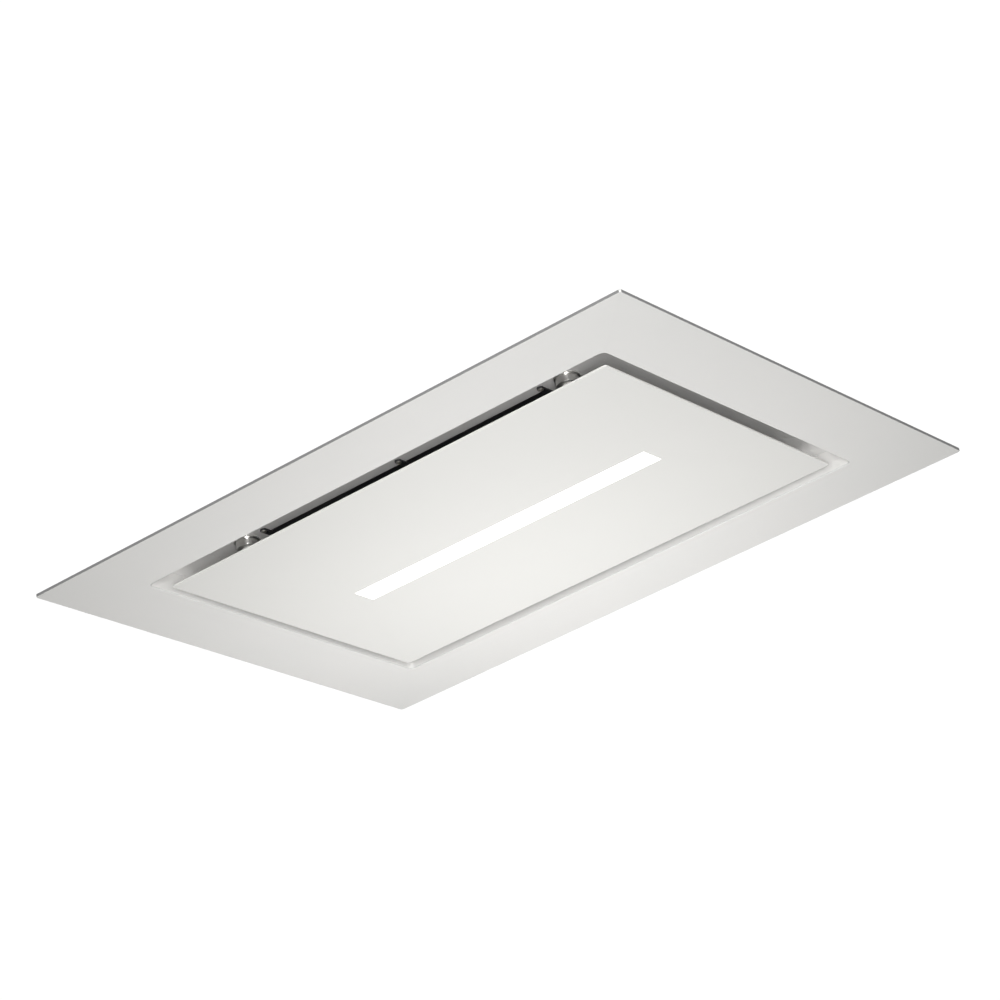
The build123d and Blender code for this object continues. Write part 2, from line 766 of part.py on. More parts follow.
# ---------------------------------------------------------------------------
# Hinges: arms under the tray, leaves on the panel, pins along X
# ---------------------------------------------------------------------------
leaf_half = knuckle_length / 2 + knuckle_gap + outer_knuckle_length
arm_drop = tray_underside - arm_foot_sheet / 2 - hinge_level
arm_run = hinge_line - arm_foot_front - arm_foot_length + arm_thickness
for side, side_name in ((-1, "left"), (1, "right")):
    station = side * hinge_station
    with BuildPart() as hinge_arm:
        with BuildSketch(Plane.XY.offset(tray_underside - arm_foot_sheet)):
            with Locations((station, arm_foot_front + arm_foot_length / 2)):
                RectangleRounded(arm_foot_width, arm_foot_length, arm_foot_radius)
        extrude(amount=arm_foot_sheet)
        with BuildSketch(facing_x(station - knuckle_length / 2, hinge_line, hinge_level)):
            with BuildLine():
                Polyline((-arm_run, arm_drop + arm_foot_sheet / 2),
                         (-arm_run, arm_drop - arm_foot_sheet / 2),
                         (-knuckle_radius / 2, -knuckle_radius / 2),
                         (0, knuckle_radius),
                         (-arm_run + 2 * arm_thickness, arm_drop + arm_foot_sheet / 2),
                         close=True)
            make_face()
            Circle(knuckle_radius)
            Circle(hinge_pin_radius, mode=Mode.SUBTRACT)
        extrude(amount=knuckle_length)
    save(hinge_arm, f"hinge_arm_{side_name}")

with BuildPart() as hinge_leaves:
    for station in (-hinge_station, hinge_station):
        with BuildSketch(Plane.XY.offset(panel_top)):
            with Locations((station, hinge_line + knuckle_radius - leaf_reach / 2)):
                Rectangle(2 * leaf_half, leaf_reach)
        extrude(amount=leaf_sheet)
        for start in (station - leaf_half, station + knuckle_length / 2 + knuckle_gap):
            with BuildSketch(facing_x(start, hinge_line, hinge_level)):
                Circle(knuckle_radius)
                with Locations((0, -(knuckle_radius + leaf_gap) / 2)):
                    Rectangle(2 * knuckle_radius, knuckle_radius + leaf_gap)
                Circle(hinge_pin_radius + shaft_fit, mode=Mode.SUBTRACT)
            extrude(amount=outer_knuckle_length)
save(hinge_leaves, "hinge_leaves")

pin_half_length = leaf_half + hinge_pin_overhang
with BuildPart() as hinge_pins:
    for side in (-1, 1):
        pin_end = facing_x(side * hinge_station - pin_half_length, hinge_line, hinge_level)
        round_bar(pin_end, hinge_pin_radius, 2 * pin_half_length)
save(hinge_pins, "hinge_pins")

# ---------------------------------------------------------------------------
# Suction panel: thin-edged face, a pan behind it set back from the edge, two ribs inside
# ---------------------------------------------------------------------------
with BuildPart() as panel_skin:
    with BuildSketch(Plane.XY.offset(panel_face)):
        RectangleRounded(panel_length, panel_width, panel_corner_radius)
        with Locations((0, led_offset)):
            Rectangle(led_length, led_width, mode=Mode.SUBTRACT)
    extrude(amount=panel_sheet)
    with BuildSketch(Plane.XY.offset(panel_face)):
        ring(panel_length, panel_width, panel_corner_radius,
             panel_length - 2 * panel_sheet, panel_width - 2 * panel_sheet,
             panel_corner_radius - panel_sheet)
    extrude(amount=panel_edge)
    outer_edge = panel_skin.faces().sort_by(Axis.Z)[0].outer_wire().edges()
    fillet(outer_edge, panel_edge_radius)
save(panel_skin, "panel_skin")

pan_length = panel_length - 2 * pan_inset
pan_width = panel_width - pan_inset - pan_inset_rear
pan_middle = (0, (pan_inset - pan_inset_rear) / 2)
pan_foot_width = pan_width + 2 * pan_inset_rear - 2 * (panel_sheet + panel_fit)
with BuildPart() as panel_back:
    with BuildSketch(Plane.XY.offset(panel_face + panel_sheet)):
        with Locations(pan_middle):
            Rectangle(pan_length + 2 * pan_foot, pan_foot_width)
            Rectangle(pan_length, pan_width, mode=Mode.SUBTRACT)
    extrude(amount=panel_sheet)
    with BuildSketch(Plane.XY.offset(panel_face + panel_sheet)):
        with Locations(pan_middle):
            Rectangle(pan_length, pan_width)
    extrude(amount=panel_depth - panel_sheet)
    with BuildSketch(Plane.XY.offset(panel_face + panel_sheet)):
        with Locations(pan_middle):
            Rectangle(pan_length - 2 * panel_sheet, pan_width - 2 * panel_sheet)
    extrude(amount=panel_depth - 2 * panel_sheet, mode=Mode.SUBTRACT)
save(panel_back, "panel_back")

rib_length = pan_width - 2 * (panel_sheet + rib_end_gap)
with BuildPart() as panel_ribs:
    with BuildSketch(Plane.XY.offset(panel_face + panel_sheet)):
        with Locations(pan_middle):
            with GridLocations(2 * hinge_station, 1, 2, 1):
                Rectangle(rib_width, rib_length)
    extrude(amount=panel_depth - 2 * panel_sheet)
    with BuildSketch(Plane.XY.offset(panel_face + panel_sheet)):
        with Locations(pan_middle):
            with GridLocations(2 * hinge_station, 1, 2, 1):
                Rectangle(rib_width - 2 * panel_sheet, rib_length)
    extrude(amount=panel_depth - 3 * panel_sheet, mode=Mode.SUBTRACT)
save(panel_ribs, "panel_ribs")

# Light strip: channel over the slot, opal diffuser in the slot, board under the channel's roof.
channel_length = led_length + 2 * led_seat
channel_width = led_width + 2 * (led_seat + led_channel_wall)
channel_bottom = panel_face + panel_sheet
with BuildPart() as led_channel:
    with BuildSketch(Plane.XY.offset(channel_bottom)):
        with Locations((0, led_offset)):
            Rectangle(channel_length, channel_width)
    extrude(amount=led_channel_height)
    with BuildSketch(Plane.XY.offset(channel_bottom)):
        with Locations((0, led_offset)):
            Rectangle(channel_length, channel_width - 2 * led_channel_wall)
    extrude(amount=led_channel_height - led_channel_wall, mode=Mode.SUBTRACT)
save(led_channel, "led_channel")

with BuildPart() as led_diffuser:
    with BuildSketch(Plane.XY.offset(panel_face)):
        with Locations((0, led_offset)):
            Rectangle(led_length - 2 * panel_fit, led_width - 2 * panel_fit)
    extrude(amount=panel_sheet)
    with BuildSketch(Plane.XY.offset(channel_bottom)):
        with Locations((0, led_offset)):
            Rectangle(channel_length, led_width + 2 * (led_seat - panel_fit))
    extrude(amount=diffuser_flange)
save(led_diffuser, "led_diffuser")

board_underside = channel_bottom + led_channel_height - led_channel_wall - led_board_thickness
with BuildPart() as led_board:
    with BuildSketch(Plane.XY.offset(board_underside)):
        with Locations((0, led_offset)):
            Rectangle(led_length, led_board_width)
    extrude(amount=led_board_thickness)
    with BuildSketch(Plane.XY.offset(board_underside - led_chip_thickness)):
        with Locations((0, led_offset)):
            with GridLocations(led_length / led_chip_count, 1, led_chip_count, 1):
                Rectangle(led_chip_size, led_chip_size)
    extrude(amount=led_chip_thickness)
save(led_board, "led_board")

# ---------------------------------------------------------------------------
# Blower deck, inlet ring, scroll housing and impeller
# ---------------------------------------------------------------------------
deck_length = inner_length - 2 * deck_fit
deck_width = inner_width - 2 * deck_fit
with BuildPart() as blower_deck:
    with BuildSketch(Plane.XY.offset(deck_height - deck_fold)):
        RectangleRounded(deck_length, deck_width, casing_corner_radius)
    extrude(amount=deck_fold + deck_sheet)
    with BuildSketch(Plane.XY.offset(deck_height - deck_fold)):
        RectangleRounded(deck_length - 2 * deck_sheet, deck_width - 2 * deck_sheet,
                         casing_corner_radius - deck_sheet)
    extrude(amount=deck_fold, mode=Mode.SUBTRACT)
    with BuildSketch(Plane.XY.offset(deck_height)):
        with Locations(blower_at):
            Circle(inlet_mouth_radius)
    extrude(amount=deck_sheet, mode=Mode.SUBTRACT)
    for plane in deck_screw_planes:
        with BuildSketch(plane):
            Circle(screw_radius)
        extrude(amount=casing_sheet + deck_fit + deck_sheet, mode=Mode.SUBTRACT)
save(blower_deck, "blower_deck")

blower_axis = Axis((blower_x, blower_y, 0), (0, 0, 1))
blower_section = Plane(origin=(blower_x, blower_y, deck_height), x_dir=(1, 0, 0), z_dir=(0, -1, 0))
with BuildPart() as inlet_ring:
    with BuildSketch(blower_section):
        with BuildLine():
            mouth = (inlet_mouth_radius, 0)
            throat = (inlet_throat_radius + inlet_sheet, inlet_height)
            middle = (throat[0] + (mouth[0] - throat[0]) * (1 - bell_bulge), inlet_height * (1 - bell_bulge))
            inner_mouth = (inlet_mouth_radius - inlet_sheet, -inlet_sheet)
            inner_middle = (middle[0] - inlet_sheet, middle[1] - inlet_sheet)
            Polyline(inner_mouth, (inlet_mouth_radius + inlet_flange, -inlet_sheet),
                     (inlet_mouth_radius + inlet_flange, 0), mouth)
            ThreePointArc(mouth, middle, throat)
            Line(throat, (inlet_throat_radius, inlet_height))
            ThreePointArc((inlet_throat_radius, inlet_height), inner_middle, inner_mouth)
        make_face()
    revolve(axis=blower_axis)
save(inlet_ring, "inlet_ring")

# The impeller is a wheel of blades between a front ring and a back plate with a hub.
blade_chord = (impeller_radius - impeller_inner_radius) * blade_chord_share
blade_circle = (impeller_inner_radius + impeller_radius - impeller_sheet) / 2
plate_level = impeller_top - impeller_sheet
with BuildPart() as impeller_blades:
    with BuildSketch(Plane.XY.offset(impeller_bottom + impeller_sheet + weld_seam)):
        with Locations(blower_at):
            with PolarLocations(blade_circle, blade_count):
                Rectangle(blade_chord, blade_sheet, rotation=blade_tilt)
    extrude(amount=plate_level - impeller_bottom - impeller_sheet - weld_seam)
save(impeller_blades, "impeller_blades")

with BuildPart() as impeller_discs:
    with BuildSketch(Plane.XY.offset(impeller_bottom)):
        with Locations(blower_at):
            Circle(impeller_radius)
            Circle(impeller_eye_radius, mode=Mode.SUBTRACT)
    extrude(amount=impeller_sheet)
    with BuildSketch(Plane.XY.offset(plate_level)):
        with Locations(blower_at):
            Circle(impeller_radius)
    extrude(amount=impeller_sheet)
    with BuildSketch(Plane.XY.offset(impeller_top + hub_rise - hub_length)):
        with Locations(blower_at):
            Circle(hub_radius)
    extrude(amount=hub_length)
    with BuildSketch(Plane.XY.offset(impeller_top + hub_rise - hub_length)):
        with Locations(blower_at):
            Circle(shaft_radius)
    extrude(amount=hub_length, mode=Mode.SUBTRACT)
save(impeller_discs, "impeller_discs")


def scroll_face():
    """Plan of the scroll housing with its straight outlet, in the sketch that is open."""
    with BuildLine() as outline:
        for centre, radius, start, sweep in scroll_arcs:
            CenterArc(centre, radius, start, sweep)
        Polyline((scroll_end.X, scroll_end.Y), (outlet_x, scroll_end.Y), (outlet_x, scroll_tongue.Y),
                 (scroll_tongue.X, scroll_tongue.Y))
    make_face(outline.edges())


with BuildPart() as volute_shell:
    with BuildSketch(Plane.XY.offset(deck_top)):
        scroll_face()
        offset(amount=volute_sheet)
    extrude(amount=volute_height)
    with BuildSketch(Plane.XY.offset(deck_top)):
        scroll_face()
    extrude(amount=volute_height - volute_sheet, mode=Mode.SUBTRACT)
    with BuildSketch(Plane.XY.offset(deck_top)):
        with Locations((outlet_x + volute_sheet, outlet_y)):
            Rectangle(2 * volute_sheet, outlet_width + 4 * volute_sheet)
    extrude(amount=volute_height, mode=Mode.SUBTRACT)
    with BuildSketch(Plane.XY.offset(volute_top - volute_sheet)):
        with Locations(blower_at):
            Circle(shaft_hole_radius)
            with PolarLocations(motor_ear_offset, motor_ear_count):
                Circle(motor_screw_radius)
    extrude(amount=volute_sheet, mode=Mode.SUBTRACT)
save(volute_shell, "volute_shell")

# ---------------------------------------------------------------------------
# Motor: housing on three rubber bushes, shaft down to the impeller
# ---------------------------------------------------------------------------
seat_level = motor_base + motor_floor
with BuildPart() as motor_body:
    with BuildSketch(Plane.XY.offset(motor_base)):
        with Locations(blower_at):
            Circle(motor_radius)
    extrude(amount=motor_height)
    with BuildSketch(Plane.XY.offset(motor_base)):
        with Locations(blower_at):
            with PolarLocations(motor_ear_offset, motor_ear_count):
                Circle(motor_ear_radius)
            with PolarLocations(motor_ear_offset - motor_ear_radius / 2, motor_ear_count):
                Rectangle(motor_ear_radius, 2 * motor_ear_radius)
    extrude(amount=motor_ear_sheet)
    with BuildSketch(Plane.XY.offset(seat_level)):
        with Locations(blower_at):
            Circle(motor_radius - motor_wall)
            Circle(bearing_radius + bearing_wall, mode=Mode.SUBTRACT)
    extrude(amount=motor_height, mode=Mode.SUBTRACT)
    with BuildSketch(Plane.XY.offset(seat_level + bearing_length)):
        with Locations(blower_at):
            Circle(bearing_radius + bearing_wall)
    extrude(amount=motor_height, mode=Mode.SUBTRACT)
    with BuildSketch(Plane.XY.offset(seat_level)):
        with Locations(blower_at):
            Circle(bearing_radius)
    extrude(amount=bearing_length, mode=Mode.SUBTRACT)
    with BuildSketch(Plane.XY.offset(motor_base)):
        with Locations(blower_at):
            Circle(motor_floor_hole_radius)
            with PolarLocations(motor_ear_offset, motor_ear_count):
                Circle(motor_screw_radius)
    extrude(amount=motor_floor, mode=Mode.SUBTRACT)
save(motor_body, "motor_body")

with BuildPart() as motor_cap:
    with BuildSketch(Plane.XY.offset(motor_top)):
        with Locations(blower_at):
            Circle(motor_radius)
    extrude(amount=motor_cap_thickness)
    with BuildSketch(Plane.XY.offset(motor_top - bearing_length)):
        with Locations(blower_at):
            Circle(bearing_radius + bearing_wall)
    extrude(amount=bearing_length)
    with BuildSketch(Plane.XY.offset(motor_top - bearing_length)):
        with Locations(blower_at):
            Circle(bearing_radius)
    extrude(amount=bearing_length, mode=Mode.SUBTRACT)
save(motor_cap, "motor_cap")

with BuildPart() as motor_bearings:
    for level in (seat_level, motor_top - bearing_length):
        with BuildSketch(Plane.XY.offset(level)):
            with Locations(blower_at):
                Circle(bearing_radius)
                Circle(shaft_radius + shaft_fit, mode=Mode.SUBTRACT)
        extrude(amount=bearing_length)
save(motor_bearings, "motor_bearings")

stator_level = (seat_level + bearing_length + motor_top - bearing_length - stator_height) / 2
with BuildPart() as motor_stator:
    with BuildSketch(Plane.XY.offset(stator_level)):
        with Locations(blower_at):
            Circle(motor_radius - motor_wall)
            Circle(stator_inner_radius, mode=Mode.SUBTRACT)
    extrude(amount=stator_height)
save(motor_stator, "motor_stator")

with BuildPart() as motor_rotor:
    with BuildSketch(Plane.XY.offset(stator_level)):
        with Locations(blower_at):
            Circle(stator_inner_radius - rotor_gap)
            Circle(shaft_radius, mode=Mode.SUBTRACT)
    extrude(amount=stator_height)
save(motor_rotor, "motor_rotor")

shaft_bottom = impeller_top + hub_rise - hub_length
shaft_top = motor_top - shaft_end_gap
with BuildPart() as motor_shaft:
    round_bar(Plane(origin=(blower_x, blower_y, shaft_bottom)), shaft_radius, shaft_top - shaft_bottom)
save(motor_shaft, "motor_shaft")

with BuildPart() as motor_bushes:
    with BuildSketch(Plane.XY.offset(volute_top)):
        with Locations(blower_at):
            with PolarLocations(motor_ear_offset, motor_ear_count):
                Circle(bush_radius)
                Circle(motor_screw_radius, mode=Mode.SUBTRACT)
    extrude(amount=bush_height)
save(motor_bushes, "motor_bushes")

motor_screw_planes = []
for index in range(motor_ear_count):
    angle = index * 2 * pi / motor_ear_count
    motor_screw_planes.append(Plane(origin=(blower_x + motor_ear_offset * cos(angle),
                                            blower_y + motor_ear_offset * sin(angle),
                                            motor_base + motor_ear_sheet), z_dir=(0, 0, -1)))
screws("motor_screws", motor_screw_planes,
       head_radius=2 * motor_screw_radius, head_height=motor_screw_radius,
       shank_radius=motor_screw_radius, shank_length=motor_ear_sheet + bush_height + volute_sheet)

# ---------------------------------------------------------------------------
# Duct outlet: adapter from the scroll to the wall, collar, pin and two flaps
# ---------------------------------------------------------------------------
adapter_start = facing_x(outlet_x, outlet_y, deck_top + volute_height / 2)
adapter_end = facing_x(outlet_x + adapter_length, outlet_y, collar_level)
with BuildPart() as adapter_hollow:
    with BuildSketch(adapter_start):
        RectangleRounded(outlet_width, volute_height - 2 * volute_sheet, adapter_corner_radius)
    with BuildSketch(adapter_end):
        Circle(collar_radius - collar_wall)
    loft()
with BuildPart() as outlet_adapter:
    with BuildSketch(adapter_start):
        RectangleRounded(outlet_width + 2 * volute_sheet, volute_height,
                         adapter_corner_radius + volute_sheet)
    with BuildSketch(adapter_end):
        Circle(collar_radius)
    loft()
    add(adapter_hollow.part, mode=Mode.SUBTRACT)
save(outlet_adapter, "outlet_adapter")

damper_x = casing_length / 2 + damper_pin_offset
stop_start = damper_pin_offset - damper_plate / 2 - damper_stop_gap - damper_stop_sheet
pin_half = collar_radius
with BuildPart() as outlet_collar:
    with BuildSketch(collar_base):
        Circle(collar_radius + collar_flange)
        Circle(collar_radius - collar_wall, mode=Mode.SUBTRACT)
    extrude(amount=casing_sheet)
    with BuildSketch(collar_base):
        Circle(collar_radius)
        Circle(collar_radius - collar_wall, mode=Mode.SUBTRACT)
    extrude(amount=collar_length)
    with BuildSketch(collar_base.offset(stop_start)):
        Circle(collar_radius)
        Circle(collar_radius - collar_wall - damper_stop_width, mode=Mode.SUBTRACT)
    extrude(amount=damper_stop_sheet)
    with BuildSketch(Plane(origin=(damper_x, outlet_y, collar_level - pin_half))):
        Circle(damper_pin_radius)
    extrude(amount=2 * pin_half, mode=Mode.SUBTRACT)
save(outlet_collar, "outlet_collar")

with BuildPart() as damper_pin:
    round_bar(Plane(origin=(damper_x, outlet_y, collar_level - pin_half)), damper_pin_radius, 2 * pin_half)
save(damper_pin, "damper_pin")

flap_radius = collar_radius - collar_wall - damper_edge_gap
knuckle_pitch = 2 * (flap_radius - damper_end_gap) / damper_knuckle_count
knuckle_start = damper_end_gap - flap_radius
tab_height = knuckle_pitch - damper_knuckle_gap
flap_plane = facing_x(damper_x - damper_plate / 2, outlet_y, collar_level)
for side, flap_name in ((-1, "front"), (1, "rear")):
    first_knuckle = 0 if side < 0 else 1
    levels = []
    for index in range(first_knuckle, damper_knuckle_count, 2):
        levels.append(knuckle_start + knuckle_pitch * (index + 0.5))
    with BuildPart() as damper_flap:
        with BuildSketch(flap_plane):
            Circle(flap_radius)
            with Locations((side * (damper_root - flap_radius), 0)):
                Rectangle(2 * flap_radius, 2 * flap_radius, mode=Mode.SUBTRACT)
            for level in levels:
                with Locations((side * (damper_root + damper_tab_overlap) / 2, level)):
                    Rectangle(damper_root + damper_tab_overlap, tab_height)
        extrude(amount=damper_plate)
        for level in levels:
            bottom = Plane(origin=(damper_x, outlet_y, collar_level + level - tab_height / 2))
            round_bar(bottom, damper_knuckle_radius, tab_height)
            with BuildSketch(bottom):
                Circle(damper_pin_radius + damper_fit)
            extrude(amount=tab_height, mode=Mode.SUBTRACT)
    save(damper_flap, f"damper_flap_{flap_name}")

# ---------------------------------------------------------------------------
# Control box on the deck, light driver, mains gland
# ---------------------------------------------------------------------------
board_length = control_length - 2 * board_margin
board_width = control_width - 2 * board_margin
board_level = deck_top + control_sheet + standoff_height
with BuildPart() as control_box:
    with BuildSketch(Plane.XY.offset(deck_top)):
        with Locations(control_at):
            Rectangle(control_length, control_width)
    extrude(amount=control_height)
    with BuildSketch(Plane.XY.offset(deck_top + control_sheet)):
        with Locations(control_at):
            Rectangle(control_length - 2 * control_sheet, control_width - 2 * control_sheet)
    extrude(amount=control_height, mode=Mode.SUBTRACT)
    with BuildSketch(Plane.XY.offset(deck_top)):
        with Locations(control_at):
            with GridLocations(board_length - 2 * standoff_radius, board_width - 2 * standoff_radius, 2, 2):
                Circle(standoff_radius)
    extrude(amount=control_sheet + standoff_height)
save(control_box, "control_box")

with BuildPart() as control_lid:
    with BuildSketch(Plane.XY.offset(deck_top + control_height)):
        with Locations(control_at):
            Rectangle(control_length, control_width)
    extrude(amount=control_sheet)
save(control_lid, "control_lid")

with BuildPart() as control_board:
    with BuildSketch(Plane.XY.offset(board_level)):
        with Locations(control_at):
            Rectangle(board_length, board_width)
    extrude(amount=board_sheet)
    with BuildSketch(Plane.XY.offset(board_level + board_sheet)):
        with Locations((control_x - board_length / 4, control_y + board_width / 4)):
            Rectangle(transformer_length, transformer_width)
        with Locations((control_x - board_length / 4, control_y)):
            Rectangle(relay_length, relay_width)
    extrude(amount=board_part_height)
save(control_board, "control_board")

terminal_at = (control_x - (board_length - terminal_length) / 2, control_y - board_width / 4)
with BuildPart() as terminal_block:
    with BuildSketch(Plane.XY.offset(board_level + board_sheet)):
        with Locations(terminal_at):
            Rectangle(terminal_length, terminal_width)
    extrude(amount=terminal_height)
    with BuildSketch(Plane.XY.offset(board_level + board_sheet + terminal_height / 2)):
        with Locations(terminal_at):
            with GridLocations(terminal_length / terminal_poles, 1, terminal_poles, 1):
                Circle(terminal_hole_radius)
    extrude(amount=terminal_height / 2, mode=Mode.SUBTRACT)
save(terminal_block, "terminal_block")

with BuildPart() as run_capacitor:
    capacitor_plane = Plane(origin=(control_x + board_length / 4 + capacitor_length / 2, control_y,
                                    board_level + board_sheet + capacitor_radius), z_dir=(-1, 0, 0))
    round_bar(capacitor_plane, capacitor_radius, capacitor_length)
save(run_capacitor, "run_capacitor")

with BuildPart() as led_driver:
    with BuildSketch(Plane.XY.offset(deck_top)):
        with Locations((control_x, control_y + control_width / 2 + driver_gap + driver_width / 2)):
            RectangleRounded(driver_length, driver_width, driver_corner_radius)
    extrude(amount=driver_height)
    fillet(led_driver.edges().group_by(Axis.Z)[-1], driver_edge_radius)
save(led_driver, "led_driver")

with BuildPart() as cable_gland:
    round_bar(gland_plane.offset(-casing_sheet - gland_nut_length), gland_thread_radius,
              casing_sheet + gland_nut_length + gland_outer_length)
    with BuildSketch(gland_plane.offset(-casing_sheet - gland_nut_length)):
        RegularPolygon(gland_nut_radius, 6)
    extrude(amount=gland_nut_length)
    with BuildSketch(gland_plane):
        RegularPolygon(gland_nut_radius, 6)
    extrude(amount=gland_nut_length)
    round_bar(gland_plane.offset(gland_nut_length), gland_dome_radius, gland_outer_length - gland_nut_length)
    with BuildSketch(gland_plane.offset(-casing_sheet - gland_nut_length)):
        Circle(gland_bore_radius)
    extrude(amount=casing_sheet + gland_nut_length + gland_outer_length, mode=Mode.SUBTRACT)
save(cable_gland, "cable_gland")

# ---------------------------------------------------------------------------
# Hanger brackets on the long walls, each with two bolts
# ---------------------------------------------------------------------------
with BuildPart() as hanger_brackets:
    for side in (-1, 1):
        for x in (-hanger_station, hanger_station):
            wall_face = side * casing_width / 2
            with BuildSketch(Plane.XY.offset(hanger_top - hanger_height)):
                with Locations((x, wall_face + side * hanger_sheet / 2)):
                    Rectangle(hanger_width, hanger_sheet)
            extrude(amount=hanger_height)
            with BuildSketch(Plane.XY.offset(hanger_top - hanger_sheet)):
                with Locations((x, wall_face + side * hanger_shelf / 2)):
                    Rectangle(hanger_width, hanger_shelf)
                with Locations((x, wall_face + side * hanger_rod_offset)):
                    Circle(hanger_rod_radius, mode=Mode.SUBTRACT)
            extrude(amount=hanger_sheet)
    for plane in hanger_bolt_planes:
        with BuildSketch(plane):
            Circle(hanger_bolt_radius)
        extrude(amount=hanger_sheet, mode=Mode.SUBTRACT)
save(hanger_brackets, "hanger_brackets")

screws("hanger_bolts", hanger_bolt_planes,
       head_radius=2 * hanger_bolt_radius, head_height=hanger_bolt_radius,
       shank_radius=hanger_bolt_radius, shank_length=hanger_sheet + casing_sheet + 2 * hanger_bolt_radius)
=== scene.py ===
import math

import bpy
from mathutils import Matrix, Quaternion, Vector


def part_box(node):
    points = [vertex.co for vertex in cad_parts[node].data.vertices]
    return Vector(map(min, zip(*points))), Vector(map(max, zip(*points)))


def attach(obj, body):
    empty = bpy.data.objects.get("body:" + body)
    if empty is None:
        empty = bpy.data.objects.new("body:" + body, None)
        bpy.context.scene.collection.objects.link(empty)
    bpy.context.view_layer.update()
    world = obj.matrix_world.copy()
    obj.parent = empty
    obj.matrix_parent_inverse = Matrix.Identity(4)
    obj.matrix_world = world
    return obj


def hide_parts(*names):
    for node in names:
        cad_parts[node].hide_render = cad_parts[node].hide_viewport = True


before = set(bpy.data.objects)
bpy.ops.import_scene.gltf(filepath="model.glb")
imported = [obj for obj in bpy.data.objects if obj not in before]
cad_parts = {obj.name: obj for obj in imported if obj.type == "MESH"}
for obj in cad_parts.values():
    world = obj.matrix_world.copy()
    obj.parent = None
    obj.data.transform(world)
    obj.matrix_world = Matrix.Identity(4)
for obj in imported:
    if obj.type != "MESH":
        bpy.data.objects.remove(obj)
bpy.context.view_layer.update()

# ---------------------------------------------------------------------------
# Camera: a long lens nearly five metres away and two metres below the ceiling,
# turned a little about its own axis so that the near corners lie as pictured.
# ---------------------------------------------------------------------------
camera_place = Vector((2.5665, -3.5710, -2.0167))
camera_target = Vector((0.04884, -0.05724, -0.004))
camera_roll = math.radians(-9.506)

camera_data = bpy.data.cameras.new("room_camera")
camera_data.sensor_width = 36.0
camera_data.lens = 130.54
camera = bpy.data.objects.new("room_camera", camera_data)
bpy.context.scene.collection.objects.link(camera)
camera.location = camera_place
camera.rotation_mode = "QUATERNION"
camera.rotation_quaternion = (
    (camera_target - camera_place).to_track_quat("-Z", "Y")
    @ Quaternion((0.0, 0.0, 1.0), camera_roll)
)
bpy.context.scene.camera = camera

# ---------------------------------------------------------------------------
# Room: a white ceiling board cut out inside the fascia's rim, seen from below only,
# and a plain pale floor, seen from above only. The surround is brighter above the
# ceiling than below it, and the soft lamps on each side stay on that side.
# ---------------------------------------------------------------------------
ceiling_level = 0.0004
ceiling_half = 8.0
ceiling_lap = 0.001
ceiling_glow = 1.04
ceiling_light = 0.45
floor_level = -2.40
floor_half = 9.0
floor_colour = (0.80, 0.80, 0.79)
backdrop_glow = 0.90
light_above = 0.58
light_below = 0.20
# Each lamp: its place, what it is aimed at, its power and its size.
room_lamps = {
    "lamp_near": ((1.80, -2.50, -1.40), (0.0, 0.0, 0.0), 103.0, (1.2, 1.2)),
    "lamp_under": ((0.0, 0.05, -0.50), (0.0, 0.05, 0.0), 0.9, (0.8, 0.5)),
    "lamp_under_far": ((-0.20, 0.30, -0.70), (-0.20, 0.30, 0.0), 3.0, (0.6, 0.4)),
    "lamp_above_right": ((2.6, -2.4, 2.6), (0.0, 0.0, 0.15), 30.0, (2.4, 2.4)),
    "lamp_above_left": ((-2.8, 1.6, 2.4), (0.0, 0.0, 0.15), 10.0, (2.4, 2.4)),
}


def mesh_piece(name, vertices, faces):
    mesh = bpy.data.meshes.new(name)
    mesh.from_pydata(vertices, [], faces)
    mesh.update()
    piece = bpy.data.objects.new(name, mesh)
    bpy.context.scene.collection.objects.link(piece)
    return piece


def screen_finish(name, colour, glow, light):
    """A glow that the camera sees from the front only, and another that lights the pieces."""
    material = bpy.data.materials.new(name)
    material.use_nodes = True
    nodes, links = material.node_tree.nodes, material.node_tree.links
    nodes.remove(nodes["Principled BSDF"])
    ray = nodes.new("ShaderNodeLightPath")
    strength = nodes.new("ShaderNodeMapRange")
    strength.inputs["To Min"].default_value = light
    strength.inputs["To Max"].default_value = glow
    links.new(ray.outputs["Is Camera Ray"], strength.inputs["Value"])
    shown = nodes.new("ShaderNodeEmission")
    shown.inputs["Color"].default_value = (*colour, 1.0)
    links.new(strength.outputs[0], shown.inputs["Strength"])
    side = nodes.new("ShaderNodeNewGeometry")
    seen_from_behind = nodes.new("ShaderNodeMath")
    seen_from_behind.operation = "MULTIPLY"
    links.new(side.outputs["Backfacing"], seen_from_behind.inputs[0])
    links.new(ray.outputs["Is Camera Ray"], seen_from_behind.inputs[1])
    clear = nodes.new("ShaderNodeBsdfTransparent")
    either = nodes.new("ShaderNodeMixShader")
    links.new(seen_from_behind.outputs[0], either.inputs["Fac"])
    links.new(shown.outputs[0], either.inputs[1])
    links.new(clear.outputs[0], either.inputs[2])
    links.new(either.outputs[0], nodes["Material Output"].inputs["Surface"])
    return material


